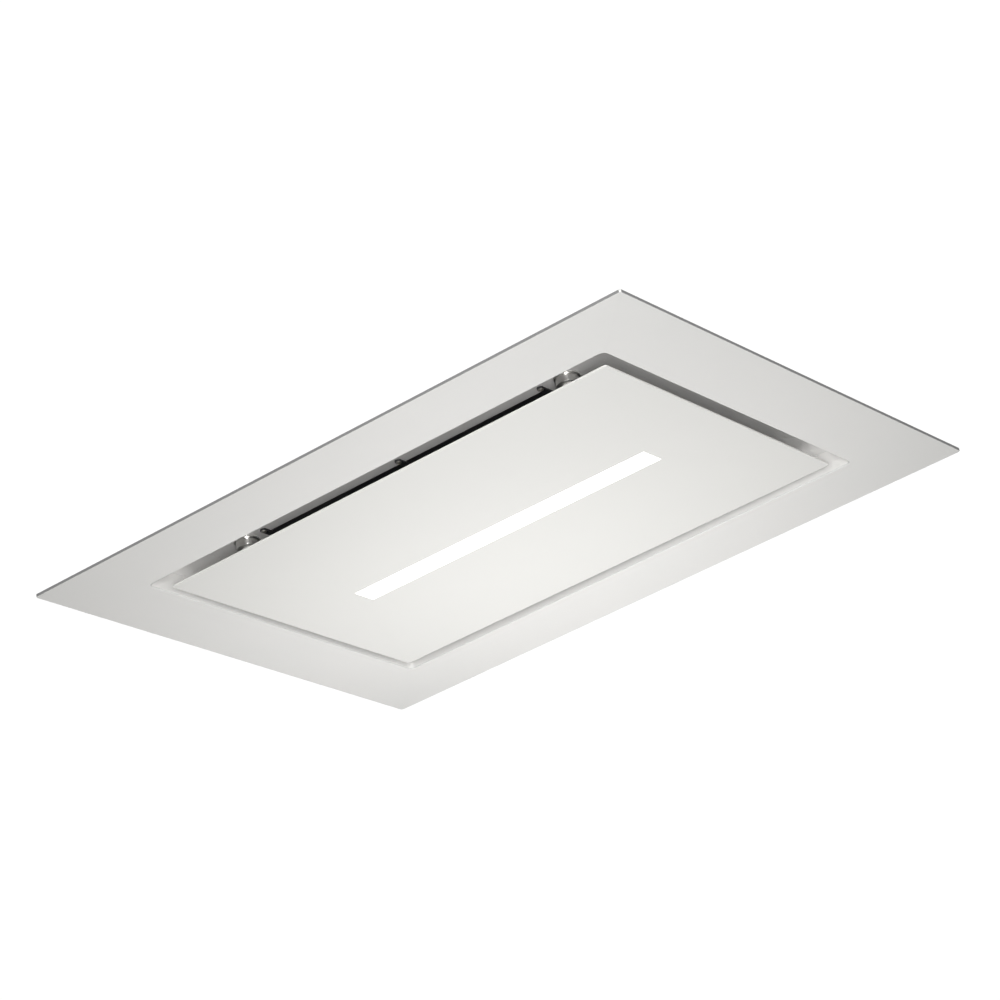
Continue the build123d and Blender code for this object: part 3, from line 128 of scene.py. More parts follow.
fascia_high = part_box("fascia_frame")[1]
inner_x, inner_y = fascia_high.x - ceiling_lap, fascia_high.y - ceiling_lap
outer = [(-ceiling_half, -ceiling_half), (ceiling_half, -ceiling_half),
         (ceiling_half, ceiling_half), (-ceiling_half, ceiling_half)]
inner = [(-inner_x, -inner_y), (inner_x, -inner_y), (inner_x, inner_y), (-inner_x, inner_y)]
board = mesh_piece(
    "ceiling_board",
    [(x, y, ceiling_level) for x, y in outer + inner],
    [(i, 4 + i, 4 + (i + 1) % 4, (i + 1) % 4) for i in range(4)],
)
board.data.materials.append(screen_finish("ceiling_white", (1.0, 1.0, 1.0), ceiling_glow,
                                          ceiling_light))
floor = mesh_piece(
    "floor",
    [(x * floor_half, y * floor_half, floor_level) for x, y in ((-1, -1), (1, -1), (1, 1), (-1, 1))],
    [(0, 1, 2, 3)],
)
floor.data.materials.append(screen_finish("floor_pale", floor_colour, backdrop_glow, light_below))

for name, (place, target, power, size) in room_lamps.items():
    data = bpy.data.lights.new(name, "AREA")
    data.shape = "RECTANGLE"
    data.size, data.size_y = size
    data.energy = power
    lamp = bpy.data.objects.new(name, data)
    bpy.context.scene.collection.objects.link(lamp)
    lamp.location = place
    lamp.rotation_mode = "QUATERNION"
    lamp.rotation_quaternion = (Vector(target) - Vector(place)).to_track_quat("-Z", "Y")
    lamp.visible_camera = False

world = bpy.data.worlds.new("pale_room")
world.use_nodes = True
nodes, links = world.node_tree.nodes, world.node_tree.links
nodes["Background"].inputs["Color"].default_value = (1.0, 1.0, 1.0, 1.0)
where = nodes.new("ShaderNodeTexCoord")
direction = nodes.new("ShaderNodeSeparateXYZ")
links.new(where.outputs["Object"], direction.inputs[0])
height = nodes.new("ShaderNodeMapRange")
height.inputs["From Min"].default_value = -0.05
height.inputs["From Max"].default_value = 0.05
height.inputs["To Min"].default_value = light_below
height.inputs["To Max"].default_value = light_above
links.new(direction.outputs["Z"], height.inputs["Value"])
ray = nodes.new("ShaderNodeLightPath")
strength = nodes.new("ShaderNodeMapRange")
links.new(ray.outputs["Is Camera Ray"], strength.inputs["Value"])
links.new(height.outputs[0], strength.inputs["To Min"])
strength.inputs["To Max"].default_value = backdrop_glow
links.new(strength.outputs[0], nodes["Background"].inputs["Strength"])
bpy.context.scene.world = world
bpy.context.scene.view_settings.view_transform = "Standard"

# ---------------------------------------------------------------------------
# Casing walls and ceiling flange: folded galvanised sheet, spot-welded down the
# corners, with bright cut edges and dulled zinc.
# ---------------------------------------------------------------------------
zinc_colour = (0.55, 0.56, 0.57)
zinc_dull = (0.40, 0.41, 0.42)
zinc_bright = (0.70, 0.71, 0.72)
zinc_crystal = 0.011
cut_edge = 0.0006
weld_mark_radius = 0.0026
weld_mark_height = 0.00025
weld_pitch = 0.045


def effect_group(name, inputs, outputs):
    """An empty shader group with named number inputs and number outputs."""
    group = bpy.data.node_groups.new(name, "ShaderNodeTree")
    for label, value in inputs.items():
        socket = group.interface.new_socket(label, in_out="INPUT", socket_type="NodeSocketFloat")
        socket.default_value = value
    for label in outputs:
        group.interface.new_socket(label, in_out="OUTPUT", socket_type="NodeSocketFloat")
    return group, group.nodes.new("NodeGroupInput"), group.nodes.new("NodeGroupOutput")


def number_node(tree, operation, first, second=None, clamp=False):
    """A Math node; each of its two values is a socket or a plain number."""
    node = tree.nodes.new("ShaderNodeMath")
    node.operation = operation
    node.use_clamp = clamp
    for socket, value in zip(node.inputs, (first, second)):
        if isinstance(value, (int, float)):
            socket.default_value = value
        elif value is not None:
            tree.links.new(value, socket)
    return node.outputs[0]


def noise_node(tree, vector, scale, detail=2.0, roughness=0.5):
    node = tree.nodes.new("ShaderNodeTexNoise")
    node.inputs["Detail"].default_value = detail
    node.inputs["Roughness"].default_value = roughness
    tree.links.new(vector, node.inputs["Vector"])
    if isinstance(scale, (int, float)):
        node.inputs["Scale"].default_value = scale
    else:
        tree.links.new(scale, node.inputs["Scale"])
    return node.outputs[0]


def spread(tree, value, low, high):
    """Stretches the part of a value between low and high to 0..1."""
    node = tree.nodes.new("ShaderNodeMapRange")
    node.inputs["From Min"].default_value = low
    node.inputs["From Max"].default_value = high
    tree.links.new(value, node.inputs["Value"])
    return node.outputs[0]


# Zinc crystals: a flat tone for each crystal and a softer drift across the sheet.
zinc_spangle, given, result = effect_group(
    "zinc_spangle", {"Crystal Size": zinc_crystal}, ("Shade", "Drift")
)
where = zinc_spangle.nodes.new("ShaderNodeTexCoord")
frequency = number_node(zinc_spangle, "DIVIDE", 1.0, given.outputs["Crystal Size"])
crystals = zinc_spangle.nodes.new("ShaderNodeTexVoronoi")
zinc_spangle.links.new(where.outputs["Object"], crystals.inputs["Vector"])
zinc_spangle.links.new(frequency, crystals.inputs["Scale"])
tones = zinc_spangle.nodes.new("ShaderNodeSeparateColor")
zinc_spangle.links.new(crystals.outputs["Color"], tones.inputs["Color"])
zinc_spangle.links.new(tones.outputs["Red"], result.inputs["Shade"])
drift = noise_node(zinc_spangle, where.outputs["Object"],
                   number_node(zinc_spangle, "MULTIPLY", frequency, 0.08), 3.0)
zinc_spangle.links.new(spread(zinc_spangle, drift, 0.35, 0.68), result.inputs["Drift"])

# Worn edges: where the rounded normal leaves the flat one, broken up by noise.
worn_edge, given, result = effect_group("worn_edge", {"Width": 0.0008, "Raggedness": 0.5}, ("Mask",))
rounded = worn_edge.nodes.new("ShaderNodeBevel")
rounded.samples = 4
worn_edge.links.new(given.outputs["Width"], rounded.inputs["Radius"])
flat = worn_edge.nodes.new("ShaderNodeNewGeometry")
likeness = worn_edge.nodes.new("ShaderNodeVectorMath")
likeness.operation = "DOT_PRODUCT"
worn_edge.links.new(rounded.outputs["Normal"], likeness.inputs[0])
worn_edge.links.new(flat.outputs["Normal"], likeness.inputs[1])
where = worn_edge.nodes.new("ShaderNodeTexCoord")
breaks = number_node(worn_edge, "MULTIPLY", given.outputs["Raggedness"],
                     noise_node(worn_edge, where.outputs["Object"], 140.0, 4.0, 0.65))
turned = number_node(worn_edge, "SUBTRACT", 1.0, likeness.outputs["Value"])
bared = number_node(worn_edge, "SUBTRACT", number_node(worn_edge, "MULTIPLY", turned, 6.0), breaks)
worn_edge.links.new(number_node(worn_edge, "MULTIPLY", bared, 1.5, clamp=True), result.inputs["Mask"])

# Dust: a thin film on faces that look up, thicker in patches.
settled_dust, given, result = effect_group("settled_dust", {"Amount": 0.3}, ("Mask",))
facing = settled_dust.nodes.new("ShaderNodeNewGeometry")
axes = settled_dust.nodes.new("ShaderNodeSeparateXYZ")
settled_dust.links.new(facing.outputs["Normal"], axes.inputs[0])
where = settled_dust.nodes.new("ShaderNodeTexCoord")
patches = spread(settled_dust, noise_node(settled_dust, where.outputs["Object"], 9.0, 6.0, 0.62),
                 0.32, 0.72)
upward = spread(settled_dust, axes.outputs["Z"], 0.55, 0.98)
lying = number_node(settled_dust, "MULTIPLY", upward, patches)
settled_dust.links.new(number_node(settled_dust, "MULTIPLY", lying, given.outputs["Amount"]),
                       result.inputs["Mask"])


def new_finish(name, colour, roughness, metallic=0.0):
    material = bpy.data.materials.new(name)
    material.use_nodes = True
    shader = material.node_tree.nodes["Principled BSDF"]
    shader.inputs["Base Color"].default_value = (*colour, 1.0)
    shader.inputs["Roughness"].default_value = roughness
    shader.inputs["Metallic"].default_value = metallic
    return material, shader


def add_effect(material, group, **values):
    node = material.node_tree.nodes.new("ShaderNodeGroup")
    node.node_tree = group
    for label, value in values.items():
        node.inputs[label.replace("_", " ").title()].default_value = value
    return node.outputs


def layer(material, shader, label, mask, value):
    """Lays a colour or a number over one of the shader's inputs, under a mask."""
    tree, target = material.node_tree, shader.inputs[label]
    mix = tree.nodes.new("ShaderNodeMix")
    coloured = isinstance(value, tuple)
    mix.data_type = "RGBA" if coloured else "FLOAT"
    base, top, out = (6, 7, 2) if coloured else (2, 3, 0)
    if target.is_linked:
        tree.links.new(target.links[0].from_socket, mix.inputs[base])
    else:
        mix.inputs[base].default_value = target.default_value
    mix.inputs[top].default_value = (*value, 1.0) if coloured else value
    tree.links.new(mask, mix.inputs[0])
    tree.links.new(mix.outputs[out], target)


def emboss(material, shader, height, depth):
    """Raises the surface by a height of 0..1 times a depth in metres."""
    tree, target = material.node_tree, shader.inputs["Normal"]
    bump = tree.nodes.new("ShaderNodeBump")
    bump.inputs["Distance"].default_value = depth
    if target.is_linked:
        tree.links.new(target.links[0].from_socket, bump.inputs["Normal"])
    tree.links.new(height, bump.inputs["Height"])
    tree.links.new(bump.outputs["Normal"], target)


def dress(material, *names):
    """Gives CAD nodes their finish, in the material slots that they have."""
    for name in names:
        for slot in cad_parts[name].material_slots:
            slot.material = material


galvanised, shader = new_finish("galvanised_zinc", zinc_colour, 0.42, 0.85)
spangle = add_effect(galvanised, zinc_spangle, crystal_size=zinc_crystal)
layer(galvanised, shader, "Base Color", number_node(galvanised.node_tree, "MULTIPLY",
                                                    spangle["Shade"], 0.45), zinc_bright)
layer(galvanised, shader, "Base Color", number_node(galvanised.node_tree, "MULTIPLY",
                                                    spangle["Drift"], 0.6), zinc_dull)
layer(galvanised, shader, "Roughness", spangle["Shade"], 0.30)
layer(galvanised, shader, "Base Color", add_effect(galvanised, worn_edge, width=cut_edge)["Mask"],
      (0.78, 0.79, 0.80))
dust = add_effect(galvanised, settled_dust, amount=0.35)["Mask"]
layer(galvanised, shader, "Base Color", dust, (0.52, 0.50, 0.47))
layer(galvanised, shader, "Metallic", dust, 0.0)
layer(galvanised, shader, "Roughness", dust, 0.85)
emboss(galvanised, shader, spangle["Drift"], 0.0006)
dress(galvanised, "casing_shell", "ceiling_flange")


def piece_tree(name, inputs):
    """An empty Geometry Nodes tree with a geometry input, named inputs and a geometry output."""
    tree = bpy.data.node_groups.new(name, "GeometryNodeTree")
    tree.interface.new_socket("Geometry", in_out="INPUT", socket_type="NodeSocketGeometry")
    for label, (kind, value) in inputs.items():
        socket = tree.interface.new_socket(label, in_out="INPUT", socket_type=kind)
        if value is not None:
            socket.default_value = value
    tree.interface.new_socket("Geometry", in_out="OUTPUT", socket_type="NodeSocketGeometry")
    return tree, tree.nodes.new("NodeGroupInput"), tree.nodes.new("NodeGroupOutput")


def bake(name, points, tree, body, replaced=(), slot_name=None, **values):
    """Runs a tree on a points mesh, keeps the result as a plain mesh and lets it ride on a body."""
    carrier = bpy.data.objects.new(name + "_points", points)
    bpy.context.scene.collection.objects.link(carrier)
    modifier = carrier.modifiers.new("shape", "NODES")
    modifier.node_group = tree
    for socket in tree.interface.items_tree:
        key = socket.name.lower().replace(" ", "_")
        if socket.in_out == "INPUT" and key in values:
            modifier[socket.identifier] = values[key]
    graph = bpy.context.evaluated_depsgraph_get()
    mesh = bpy.data.meshes.new_from_object(carrier.evaluated_get(graph), depsgraph=graph)
    mesh.name = name
    bpy.data.objects.remove(carrier)
    piece = bpy.data.objects.new(name, mesh)
    bpy.context.scene.collection.objects.link(piece)
    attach(piece, body)
    if replaced:
        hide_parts(*replaced)
    return piece


def aimed_points(name, places, aims):
    """A mesh of loose points, each with the direction that its instance faces."""
    mesh = bpy.data.meshes.new(name)
    mesh.from_pydata([tuple(place) for place in places], [], [])
    aim = mesh.attributes.new("aim", "FLOAT_VECTOR", "POINT")
    for item, direction in zip(aim.data, aims):
        item.vector = direction
    return mesh


def put_instances(tree, given, result, instance, turn=None):
    """Stands an instance on each point, Z along the point's aim, and ends the tree."""
    nodes, links = tree.nodes, tree.links
    aim = nodes.new("GeometryNodeInputNamedAttribute")
    aim.data_type = "FLOAT_VECTOR"
    aim.inputs["Name"].default_value = "aim"
    align = nodes.new("FunctionNodeAlignRotationToVector")
    align.axis = "Z"
    links.new(aim.outputs["Attribute"], align.inputs["Vector"])
    rotation = align.outputs["Rotation"]
    if turn is not None:
        swing = nodes.new("FunctionNodeRandomValue")
        swing.data_type = "FLOAT_VECTOR"
        swing.inputs["Min"].default_value = (0.0, 0.0, 0.0)
        swing.inputs["Max"].default_value = (0.0, 0.0, turn)
        swing.inputs["Seed"].default_value = 7
        spin = nodes.new("FunctionNodeRotateRotation")
        spin.rotation_space = "LOCAL"
        links.new(rotation, spin.inputs["Rotation"])
        links.new(swing.outputs[0], spin.inputs["Rotate By"])
        rotation = spin.outputs["Rotation"]
    place = nodes.new("GeometryNodeInstanceOnPoints")
    links.new(given.outputs["Geometry"], place.inputs["Points"])
    links.new(instance, place.inputs["Instance"])
    links.new(rotation, place.inputs["Rotation"])
    real = nodes.new("GeometryNodeRealizeInstances")
    links.new(place.outputs[0], real.inputs[0])
    paint = nodes.new("GeometryNodeSetMaterial")
    links.new(real.outputs[0], paint.inputs["Geometry"])
    links.new(given.outputs["Material"], paint.inputs["Material"])
    links.new(paint.outputs[0], result.inputs[0])


weld_tree, given, result = piece_tree("weld_marks", {
    "Radius": ("NodeSocketFloat", weld_mark_radius),
    "Height": ("NodeSocketFloat", weld_mark_height),
    "Material": ("NodeSocketMaterial", None),
})
mark = weld_tree.nodes.new("GeometryNodeMeshCone")
mark.inputs["Vertices"].default_value = 14
weld_tree.links.new(given.outputs["Radius"], mark.inputs["Radius Bottom"])
weld_tree.links.new(number_node(weld_tree, "MULTIPLY", given.outputs["Radius"], 0.72),
                    mark.inputs["Radius Top"])
weld_tree.links.new(given.outputs["Height"], mark.inputs["Depth"])
put_instances(weld_tree, given, result, mark.outputs["Mesh"])

walls_low, walls_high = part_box("casing_shell")
weld_places, weld_aims = [], []
weld_inset = 0.010
weld_from_corner = 0.014
weld_sink = 0.0001
rows = int((walls_high.z - 2 * weld_inset) / weld_pitch)
for row in range(rows + 1):
    level = weld_inset + row * (walls_high.z - 2 * weld_inset) / rows
    for side in (-1, 1):
        for end in (walls_low.x + weld_from_corner, walls_high.x - weld_from_corner):
            weld_places.append((end, side * (walls_high.y - weld_sink), level))
            weld_aims.append((0.0, side, 0.0))
weld_finish, shader = new_finish("weld_burn", (0.36, 0.35, 0.34), 0.48, 0.85)
weld_tint = add_effect(weld_finish, zinc_spangle, crystal_size=0.002)
layer(weld_finish, shader, "Base Color", weld_tint["Shade"], (0.50, 0.48, 0.45))
weld_points = aimed_points("weld_points", weld_places, weld_aims)
bake("casing_weld_marks", weld_points, weld_tree, "hood", slot_name="galvanised_sheet",
     material=weld_finish)

# ---------------------------------------------------------------------------
# Lid and hanger brackets: flat galvanised lid screwed on the casing, and four
# angle brackets whose shelves take the threaded rods from the slab above.
# ---------------------------------------------------------------------------
dress(galvanised, "casing_top")
bracket_zinc, shader = new_finish("bracket_zinc", (0.48, 0.49, 0.50), 0.36, 0.9)
plating = add_effect(bracket_zinc, zinc_spangle, crystal_size=0.004)
layer(bracket_zinc, shader, "Base Color", plating["Drift"], (0.60, 0.60, 0.58))
layer(bracket_zinc, shader, "Roughness", plating["Shade"], 0.46)
layer(bracket_zinc, shader, "Base Color", add_effect(bracket_zinc, worn_edge, width=0.0007)["Mask"],
      (0.80, 0.80, 0.80))
dress(bracket_zinc, "hanger_brackets")

# ---------------------------------------------------------------------------
# Screws and bolts: pan-head sheet screws with a cross recess hold lid, tray and
# deck; the bracket bolts keep their shape. Zinc-plated steel, faintly yellow.
# ---------------------------------------------------------------------------
screw_steel, shader = new_finish("screw_steel", (0.60, 0.59, 0.56), 0.28, 1.0)
turned_marks = add_effect(screw_steel, zinc_spangle, crystal_size=0.0006)
layer(screw_steel, shader, "Roughness", turned_marks["Shade"], 0.40)
layer(screw_steel, shader, "Base Color", turned_marks["Drift"], (0.50, 0.48, 0.44))
dress(screw_steel, "hanger_bolts")

screw_tree, given, result = piece_tree("cross_head_screw", {
    "Head Radius": ("NodeSocketFloat", 0.004),
    "Head Height": ("NodeSocketFloat", 0.0022),
    "Shank Radius": ("NodeSocketFloat", 0.0018),
    "Shank Length": ("NodeSocketFloat", 0.008),
    "Material": ("NodeSocketMaterial", None),
})
nodes, links = screw_tree.nodes, screw_tree.links


def xyz(tree, x, y, z):
    node = tree.nodes.new("ShaderNodeCombineXYZ")
    for socket, value in zip(node.inputs, (x, y, z)):
        if isinstance(value, (int, float)):
            socket.default_value = value
        else:
            tree.links.new(value, socket)
    return node.outputs[0]


def moved(tree, geometry, offset=None, scale=None):
    node = tree.nodes.new("GeometryNodeTransform")
    tree.links.new(geometry, node.inputs["Geometry"])
    if offset is not None:
        tree.links.new(offset, node.inputs["Translation"])
    if scale is not None:
        tree.links.new(scale, node.inputs["Scale"])
    return node.outputs[0]


def block(tree, size, offset):
    node = tree.nodes.new("GeometryNodeMeshCube")
    tree.links.new(size, node.inputs["Size"])
    return moved(tree, node.outputs["Mesh"], offset)


head_radius, head_height = given.outputs["Head Radius"], given.outputs["Head Height"]
ball = nodes.new("GeometryNodeMeshUVSphere")
ball.inputs["Segments"].default_value = 20
ball.inputs["Rings"].default_value = 10
ball.inputs["Radius"].default_value = 1.0
dome = moved(screw_tree, ball.outputs["Mesh"], None, xyz(screw_tree, head_radius, head_radius, head_height))
wide = number_node(screw_tree, "MULTIPLY", head_radius, 4.0)
slot_long = number_node(screw_tree, "MULTIPLY", head_radius, 1.15)
slot_wide = number_node(screw_tree, "MULTIPLY", head_radius, 0.30)
lower_half = block(screw_tree, xyz(screw_tree, wide, wide, wide),
                   xyz(screw_tree, 0.0, 0.0, number_node(screw_tree, "MULTIPLY", wide, -0.5)))
slot_place = xyz(screw_tree, 0.0, 0.0, number_node(screw_tree, "MULTIPLY", head_height, 1.1))
bars = [
    block(screw_tree, xyz(screw_tree, long_side, short_side,
                          number_node(screw_tree, "MULTIPLY", head_height, 1.2)), slot_place)
    for long_side, short_side in ((slot_long, slot_wide), (slot_wide, slot_long))
]
cut = nodes.new("GeometryNodeMeshBoolean")
cut.operation = "DIFFERENCE"
links.new(dome, cut.inputs["Mesh 1"])
for cutter in (lower_half, *bars):
    links.new(cutter, cut.inputs["Mesh 2"])
shank = nodes.new("GeometryNodeMeshCylinder")
shank.inputs["Vertices"].default_value = 12
links.new(given.outputs["Shank Radius"], shank.inputs["Radius"])
links.new(given.outputs["Shank Length"], shank.inputs["Depth"])
shank_place = xyz(screw_tree, 0.0, 0.0,
                  number_node(screw_tree, "MULTIPLY", given.outputs["Shank Length"], -0.5))
whole = nodes.new("GeometryNodeJoinGeometry")
links.new(cut.outputs["Mesh"], whole.inputs[0])
links.new(moved(screw_tree, shank.outputs["Mesh"], shank_place), whole.inputs[0])
put_instances(screw_tree, given, result, whole.outputs[0], turn=1.5)


def islands(node_name):
    """The separate solids of a CAD node, each as a list of its points."""
    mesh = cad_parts[node_name].data
    spots = [tuple(round(c, 6) for c in vertex.co) for vertex in mesh.vertices]
    parent = {spot: spot for spot in spots}

    def root(spot):
        while parent[spot] != spot:
            parent[spot] = parent[parent[spot]]
            spot = parent[spot]
        return spot

    for face in mesh.polygons:
        first = root(spots[face.vertices[0]])
        for index in face.vertices[1:]:
            parent[root(spots[index])] = first
    groups = {}
    for spot in parent:
        groups.setdefault(root(spot), []).append(Vector(spot))
    return list(groups.values())


def screw_seats(node_name, head_height):
    """Where each screw's head sits and which way it faces, from its CAD solid."""
    seats, aims = [], []
    for points in islands(node_name):
        low = Vector([min(p[k] for p in points) for k in range(3)])
        high = Vector([max(p[k] for p in points) for k in range(3)])
        middle = (low + high) / 2
        best = None
        for axis in range(3):
            across = [k for k in range(3) if k != axis]
            for end, direction in ((low[axis], -1.0), (high[axis], 1.0)):
                at_end = [p for p in points if abs(p[axis] - end) < 1e-5]
                reach = [max(abs(p[k] - middle[k]) for p in at_end) for k in across]
                evenness = abs((high - low)[across[0]] - (high - low)[across[1]])
                score = (round(evenness, 5), -round(sum(reach), 5))
                if best is None or score < best[0]:
                    best = (score, axis, end, direction)
        axis, end, direction = best[1:]
        aim = Vector((0.0, 0.0, 0.0))
        aim[axis] = direction
        seat = middle.copy()
        seat[axis] = end
        seats.append(seat - aim * head_height)
        aims.append(aim)
    return seats, aims


def fit_screws(name, node_name, head_radius, head_height, shank_radius, shank_length):
    """Cross-head screws in the places of a CAD node's plain ones."""
    seats, aims = screw_seats(node_name, head_height)
    bake(name, aimed_points(name + "_points", seats, aims), screw_tree, "hood",
         replaced=(node_name,), slot_name="screw_steel", material=screw_steel,
         head_radius=head_radius, head_height=head_height,
         shank_radius=shank_radius, shank_length=shank_length)


fit_screws("sheet_screw_set", "sheet_screws", 0.004, 0.0022, 0.0018, 0.007)

# ---------------------------------------------------------------------------
# Blower deck and inlet ring: the galvanised floor that the fan stands on, and
# the drawn inlet ring that leads the air into the wheel.
# ---------------------------------------------------------------------------
dress(galvanised, "blower_deck")
dress(bracket_zinc, "inlet_ring")

# ---------------------------------------------------------------------------
# Impeller: forward-bent steel blades between a front ring and a back plate,
# galvanised, pressed on the motor shaft by its hub.
# ---------------------------------------------------------------------------
wheel_steel, shader = new_finish("wheel_steel", (0.52, 0.53, 0.54), 0.38, 0.95)
plating = add_effect(wheel_steel, zinc_spangle, crystal_size=0.006)
layer(wheel_steel, shader, "Base Color", plating["Drift"], (0.44, 0.44, 0.43))
layer(wheel_steel, shader, "Roughness", plating["Shade"], 0.50)
dress(wheel_steel, "impeller_blades", "impeller_discs")

# ---------------------------------------------------------------------------
# Scroll housing: moulded from dark grey plastic with a fine spark texture,
# clamped between the deck and the motor bushes.
# ---------------------------------------------------------------------------
# Moulding texture: fine pits on the plastic pieces.
moulded_grain, given, result = effect_group("moulded_grain", {"Grain Size": 0.0008}, ("Height", "Shade"))
where = moulded_grain.nodes.new("ShaderNodeTexCoord")
frequency = number_node(moulded_grain, "DIVIDE", 1.0, given.outputs["Grain Size"])
moulded_grain.links.new(noise_node(moulded_grain, where.outputs["Object"], frequency, 3.0, 0.6),
                        result.inputs["Height"])
slow = noise_node(moulded_grain, where.outputs["Object"],
                  number_node(moulded_grain, "MULTIPLY", frequency, 0.02), 3.0)
moulded_grain.links.new(spread(moulded_grain, slow, 0.3, 0.7), result.inputs["Shade"])


def moulded(name, colour, faded, roughness, grain=0.0008, depth=0.00006):
    """A moulded plastic or rubber finish: fine pits and a slow drift in tone."""
    material, shader = new_finish(name, colour, roughness)
    texture = add_effect(material, moulded_grain, grain_size=grain)
    layer(material, shader, "Base Color", number_node(material.node_tree, "MULTIPLY",
                                                      texture["Shade"], 0.5), faded)
    layer(material, shader, "Roughness", texture["Shade"], min(1.0, roughness + 0.12))
    emboss(material, shader, texture["Height"], depth)
    return material


scroll_plastic = moulded("scroll_plastic", (0.050, 0.052, 0.055), (0.075, 0.077, 0.080), 0.48)
dress(scroll_plastic, "volute_shell")

# ---------------------------------------------------------------------------
# Motor: die-cast aluminium body and cap round the stator pack, on rubber
# bushes, with its rotor, shaft and ball bearings.
# ---------------------------------------------------------------------------
cast_aluminium, shader = new_finish("cast_aluminium", (0.58, 0.59, 0.60), 0.46, 0.9)
skin = add_effect(cast_aluminium, moulded_grain, grain_size=0.0012)
layer(cast_aluminium, shader, "Base Color", skin["Shade"], (0.50, 0.51, 0.52))
layer(cast_aluminium, shader, "Base Color", add_effect(cast_aluminium, worn_edge, width=0.0006)["Mask"],
      (0.75, 0.75, 0.75))
emboss(cast_aluminium, shader, skin["Height"], 0.00010)
dress(cast_aluminium, "motor_body", "motor_cap")
lamination_steel, shader = new_finish("lamination_steel", (0.16, 0.16, 0.17), 0.40, 0.9)
sheets = lamination_steel.node_tree.nodes.new("ShaderNodeTexWave")
sheets.bands_direction = "Z"
sheets.inputs["Scale"].default_value = 320.0
where = lamination_steel.node_tree.nodes.new("ShaderNodeTexCoord")
lamination_steel.node_tree.links.new(where.outputs["Object"], sheets.inputs["Vector"])
layer(lamination_steel, shader, "Base Color", sheets.outputs["Fac"], (0.26, 0.26, 0.27))
emboss(lamination_steel, shader, sheets.outputs["Fac"], 0.00008)
dress(lamination_steel, "motor_stator", "motor_rotor")
ground_steel, shader = new_finish("ground_steel", (0.62, 0.62, 0.62), 0.18, 1.0)
lapping = add_effect(ground_steel, zinc_spangle, crystal_size=0.001)
layer(ground_steel, shader, "Roughness", lapping["Drift"], 0.32)
dress(ground_steel, "motor_shaft", "motor_bearings")
bush_rubber = moulded("bush_rubber", (0.018, 0.018, 0.018), (0.030, 0.029, 0.028), 0.78)
dress(bush_rubber, "motor_bushes")
fit_screws("motor_screw_set", "motor_screws", 0.0045, 0.0028, 0.002, 0.011)

# ---------------------------------------------------------------------------
# Outlet: moulded adapter and round collar, with two spring-shut aluminium
# flaps on a steel pin that stop air from coming back down the duct.
# ---------------------------------------------------------------------------
collar_plastic = moulded("collar_plastic", (0.035, 0.036, 0.038), (0.055, 0.056, 0.058), 0.42)
dress(collar_plastic, "outlet_adapter", "outlet_collar")


def rolled_aluminium(name, colour, darker, roughness, rougher, grain, stretch):
    """Rolled aluminium: fine lines along the sheet, drawn out by the stretch."""
    material, shader = new_finish(name, colour, roughness, 1.0)
    tree = material.node_tree
    lines = tree.nodes.new("ShaderNodeTexNoise")
    lines.inputs["Scale"].default_value = grain
    drawn = tree.nodes.new("ShaderNodeMapping")
    drawn.inputs["Scale"].default_value = stretch
    where = tree.nodes.new("ShaderNodeTexCoord")
    tree.links.new(where.outputs["Object"], drawn.inputs["Vector"])
    tree.links.new(drawn.outputs[0], lines.inputs["Vector"])
    layer(material, shader, "Roughness", lines.outputs["Fac"], rougher)
    layer(material, shader, "Base Color", lines.outputs["Fac"], darker)
    return material


flap_metal = rolled_aluminium("flap_metal", (0.66, 0.67, 0.68), (0.58, 0.59, 0.60), 0.30, 0.42,
                              grain=60.0, stretch=(1.0, 30.0, 1.0))
dress(flap_metal, "damper_flap_front", "damper_flap_rear")
dress(ground_steel, "damper_pin")

# ---------------------------------------------------------------------------
# Electrics: a closed sheet box with the control board, the fan's capacitor and
# the mains terminals, the light's driver beside it and the cable gland.
# ---------------------------------------------------------------------------
dress(galvanised, "control_box", "control_lid")
board_green, shader = new_finish("board_green", (0.020, 0.085, 0.040), 0.32)
tracks = board_green.node_tree.nodes.new("ShaderNodeTexVoronoi")
tracks.distance = "MANHATTAN"
tracks.feature = "DISTANCE_TO_EDGE"
tracks.inputs["Scale"].default_value = 160.0
where = board_green.node_tree.nodes.new("ShaderNodeTexCoord")
board_green.node_tree.links.new(where.outputs["Object"], tracks.inputs["Vector"])
between = spread(board_green.node_tree, tracks.outputs["Distance"], 0.05, 0.12)
layer(board_green, shader, "Base Color", between, (0.030, 0.125, 0.060))
dress(board_green, "control_board")
pale_plastic = moulded("pale_plastic", (0.62, 0.62, 0.60), (0.56, 0.55, 0.52), 0.45)
dress(pale_plastic, "led_driver", "terminal_block", "run_capacitor")
black_plastic = moulded("black_plastic", (0.022, 0.022, 0.023), (0.036, 0.036, 0.037), 0.5)
dress(black_plastic, "cable_gland")

# ---------------------------------------------------------------------------
# Recess tray and skirt: pressed steel behind the panel, painted satin pale grey,
# with sloped sides up to the filters, inside a skirt that is painted white.
# ---------------------------------------------------------------------------
tray_grey = (0.74, 0.73, 0.71)
skirt_white = (0.84, 0.83, 0.81)
